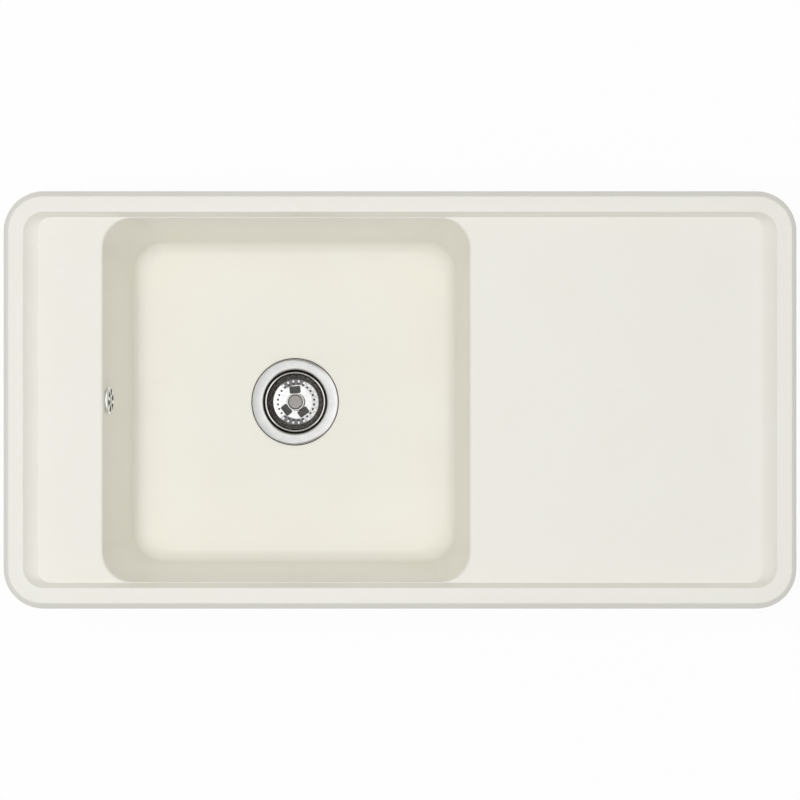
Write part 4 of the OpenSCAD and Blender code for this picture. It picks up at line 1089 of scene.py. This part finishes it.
def seen_rays(tree):
    """1 for what the camera sees, itself or in metal and glass, and 0 for light."""
    path = add(tree, "LightPath").outputs
    mirrored = calc(tree, "MAXIMUM", path["Is Glossy Ray"], path["Is Transmission Ray"])
    return calc(tree, "MAXIMUM", path["Is Camera Ray"], mirrored)


def make_stage():
    """The floor: nearly white to the camera, with the sink's shadow in it. To light it is a
    dark ground with a pale oval board under the sink, which brightens the outer walls."""
    z = CAD_BOX[0][2] - FLOOR_GAP
    mesh = bpy.data.meshes.new("floor")
    corners = [(x * FLOOR_REACH, y * FLOOR_REACH, z) for x, y in ((-1, -1), (1, -1), (1, 1), (-1, 1))]
    mesh.from_pydata(corners, [], [(0, 1, 2, 3)])
    floor = bpy.data.objects.new("floor", mesh)
    bpy.context.scene.collection.objects.link(floor)
    mat = bpy.data.materials.new("studio_floor")
    mat.use_nodes = True
    tree = mat.node_tree
    tree.nodes.clear()
    seen = seen_rays(tree)
    place = add(tree, "TexCoord").outputs["Object"]
    squeeze = (1 / BOARD_SIZE[0], 1 / BOARD_SIZE[1], 0)
    oval = add(tree, "VectorMath", {0: place, 1: squeeze}, operation="MULTIPLY").outputs[0]
    reach = add(tree, "VectorMath", {0: oval}, operation="LENGTH").outputs["Value"]
    board = mapped(tree, reach, *BOARD_FADE, BOARD_GREY, GROUND_GREY)
    grey = add(tree, "Mix", {0: seen, 6: board, 7: (SEEN_GREY, SEEN_GREY, SEEN_GREY, 1)}, data_type="RGBA")
    paper = add(tree, "BsdfDiffuse", {"Color": grey.outputs[2]}).outputs[0]
    shine = add(tree, "Emission", {"Strength": SEEN_SHINE}).outputs[0]
    share = calc(tree, "MULTIPLY", seen, SEEN_SHARE)
    mixed = add(tree, "MixShader", {0: share, 1: paper, 2: shine}).outputs[0]
    add(tree, "OutputMaterial", {0: mixed})
    mesh.materials.append(mat)


def glow(tree, sky, direction, power, strength):
    """A soft patch of sky light: strength times the cosine to its direction, to a power."""
    near = add(tree, "VectorMath", {0: sky, 1: direction}, operation="DOT_PRODUCT").outputs["Value"]
    near = calc(tree, "POWER", calc(tree, "MAXIMUM", near, 0.0), power)
    return calc(tree, "MULTIPLY", near, strength)


def make_light():
    """A white surround for the camera. Light comes from four soft patches of sky, one for
    each side, from a bright one overhead and from a lamp at the left. Metal mirrors a
    slightly brighter surround with dark flags at the front and back and a shade at the left."""
    world = bpy.data.worlds.new("studio")
    bpy.context.scene.world = world
    world.use_nodes = True
    tree = world.node_tree
    sky = add(tree, "TexCoord").outputs["Generated"]
    level = glow(tree, sky, (0, 0, 1), TOP_POWER, TOP_GLOW)
    for direction, strength in SIDE_GLOWS.items():
        level = calc(tree, "ADD", level, glow(tree, sky, direction, SIDE_POWER, strength))
    heading = add(tree, "SeparateXYZ", {0: sky}).outputs
    level = calc(tree, "MULTIPLY", level, calc(tree, "GREATER_THAN", heading["Z"], 0.0))
    level = add(tree, "Mix", {0: seen_rays(tree), 2: level, 3: 1.0}).outputs[0]
    across = add(tree, "VectorMath", {0: sky}, operation="ABSOLUTE").outputs[0]
    split = add(tree, "SeparateXYZ", {0: across}).outputs
    side = calc(tree, "SUBTRACT", split["Y"], split["X"])
    flag = mapped(tree, side, FLAG_EDGE, FLAG_EDGE + FLAG_SOFT, -MIRROR_LIFT, FLAG_DARK)
    shade = mapped(tree, heading["X"], *LEFT_EDGES, LEFT_SHADE, -MIRROR_LIFT)
    flag = calc(tree, "MAXIMUM", flag, shade)
    flag = calc(tree, "MULTIPLY", flag, tree.nodes["Light Path"].outputs["Is Glossy Ray"])
    level = calc(tree, "SUBTRACT", level, flag)
    back = tree.nodes["Background"]
    back.inputs["Color"].default_value = (1, 1, 1, 1)
    tree.links.new(level, back.inputs["Strength"])
    data = bpy.data.lights.new("overhead", "AREA")
    data.shape = "SQUARE"
    data.size = LAMP_SIZE
    data.energy = LAMP_POWER
    lamp = bpy.data.objects.new("overhead", data)
    lamp.location = LAMP_PLACE
    lamp.visible_camera = False
    lamp.visible_glossy = False
    bpy.context.scene.collection.objects.link(lamp)


# The whole

def fit(obj, material, node, body="root"):
    """Gives a piece its finish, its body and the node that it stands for."""
    obj.data.materials.clear()
    obj.data.materials.append(material)
    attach(obj, body)
    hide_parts(node)


def part_finish(obj, material, r1, r2, z1=-100, z2=100):
    """Gives the faces between two radii and two heights on the drain's axis another finish."""
    obj.data.materials.append(material)
    slot = len(obj.data.materials) - 1
    centres = np.empty(3 * len(obj.data.polygons))
    obj.data.polygons.foreach_get("center", centres)
    x, y, z = centres.reshape(-1, 3).T / MM
    r = np.hypot(x - DRAIN_X, y)
    old = np.empty(len(r), np.int32)
    obj.data.polygons.foreach_get("material_index", old)
    inside = (r > r1) & (r < r2) & (z - DRAIN_Z > z1) & (z - DRAIN_Z < z2)
    obj.data.polygons.foreach_set("material_index", np.where(inside, slot, old).astype(np.int32))


fit(make_body(), CREAM, "sink_body")
fit(make_rim_seal(), FOAM, "rim_seal")
fit(make_clip_inserts(), BRASS, "clip_inserts")
fit(make_clip_screws(), ZINC, "clip_screws")

fit(make_dish(), STEEL, "strainer_dish")
flange_ring = ring("flange_ring", AT_DRAIN, GASKET_IN_R, FLANGE_R + 0.95, -SEAT_DEPTH, -0.72)
fit(flange_ring, RUBBER, "flange_gasket")
housing_ring = ring("housing_ring", AT_DRAIN, GASKET_IN_R, GASKET_OUT_R, HOUSING_TOP, BOWL_UNDER)
fit(housing_ring, RUBBER, "waste_gasket")
fit(make_housing(), PLASTIC, "waste_housing")
hub_insert = ring("hub_insert", AT_DRAIN, BOLT_R, BOLT_INSERT_R, HUB_LOW, HUB_TOP, 0.3, 48)
fit(hub_insert, BRASS, "bolt_insert")
fit(make_bolt(), SCREW_STEEL, "centre_bolt")

# The basket's wall, the inside of its rolled rim, the knob's bright edge and its groove have
# finishes of their own, each between two radii and above a height or between two. The wall's
# darkness is partly its perforated steel and partly painted dark reflection, and the rim's
# inside and the groove are near-black with painted shade.
basket = make_basket()
fit(basket, BASKET_STEEL, "basket_cup", "basket")
part_finish(basket, SIEVE_STEEL_PAINTED_DARK, 30.6, 36.2, BASKET_UNDER, -5.2)
# Painted shade and dark reflection on the inside of the rolled rim.
part_finish(basket, PAINTED_SHADE_STEEL, 36.2, 38, -9, -4.6)
knob = make_knob()
fit(knob, KNOB_STEEL, "basket_knob", "basket")
part_finish(knob, STEEL, 9.62, 11.15, KNOB_TOP - 1)
# Painted shade in the knob's groove.
part_finish(knob, PAINTED_SHADE_STEEL, 8.65, 9.62, KNOB_TOP - 4)
fit(make_post(), STEEL, "basket_stem", "basket")
fit(make_plug(), PLUG_RUBBER, "basket_seal", "basket")
plug_washer = ring("plug_washer", AT_DRAIN, STEM_R, WASHER_R, WASHER_LOW, PLUG_LOW, 0.2)
fit(plug_washer, STEEL, "seal_washer", "basket")
fit(make_sleeve(), BRASS, "stem_clip", "basket")

fit(make_cover(), CHROME, "overflow_cover")
fit(make_cover_screw(), SCREW_STEEL, "overflow_screw")
elbow_ring = ring("elbow_ring", AT_OVERFLOW, OVERFLOW_HOLE_R, 17, ELBOW_FACE, -WALL - 0.05)
fit(elbow_ring, RUBBER, "overflow_gasket")
fit(make_elbow(), PLASTIC, "overflow_elbow")
elbow_insert = ring("elbow_insert", AT_OVERFLOW, COVER_SCREW_R, INSERT_R, BOSS_TOP - 10, BOSS_TOP, 0.2, 48)
fit(elbow_insert, BRASS, "overflow_insert")
fit(make_pipe(), PLASTIC, "overflow_pipe")
fit(make_pipe_seal("upper_seal_ring", AT_UPPER_SPIGOT), RUBBER, "upper_pipe_seal")
fit(make_pipe_seal("lower_seal_ring", AT_LOWER_SPIGOT), RUBBER, "lower_pipe_seal")
fit(make_nut("upper_union_nut", AT_UPPER_SPIGOT), PLASTIC, "upper_pipe_nut")
fit(make_nut("lower_union_nut", AT_LOWER_SPIGOT), PLASTIC, "lower_pipe_nut")
for claw_node in CLAW_NODES:
    fit(make_claw(claw_node), ZINC, claw_node, claw_node)

make_camera()
make_stage()
make_light()
bpy.context.scene.view_settings.view_transform = "Standard"
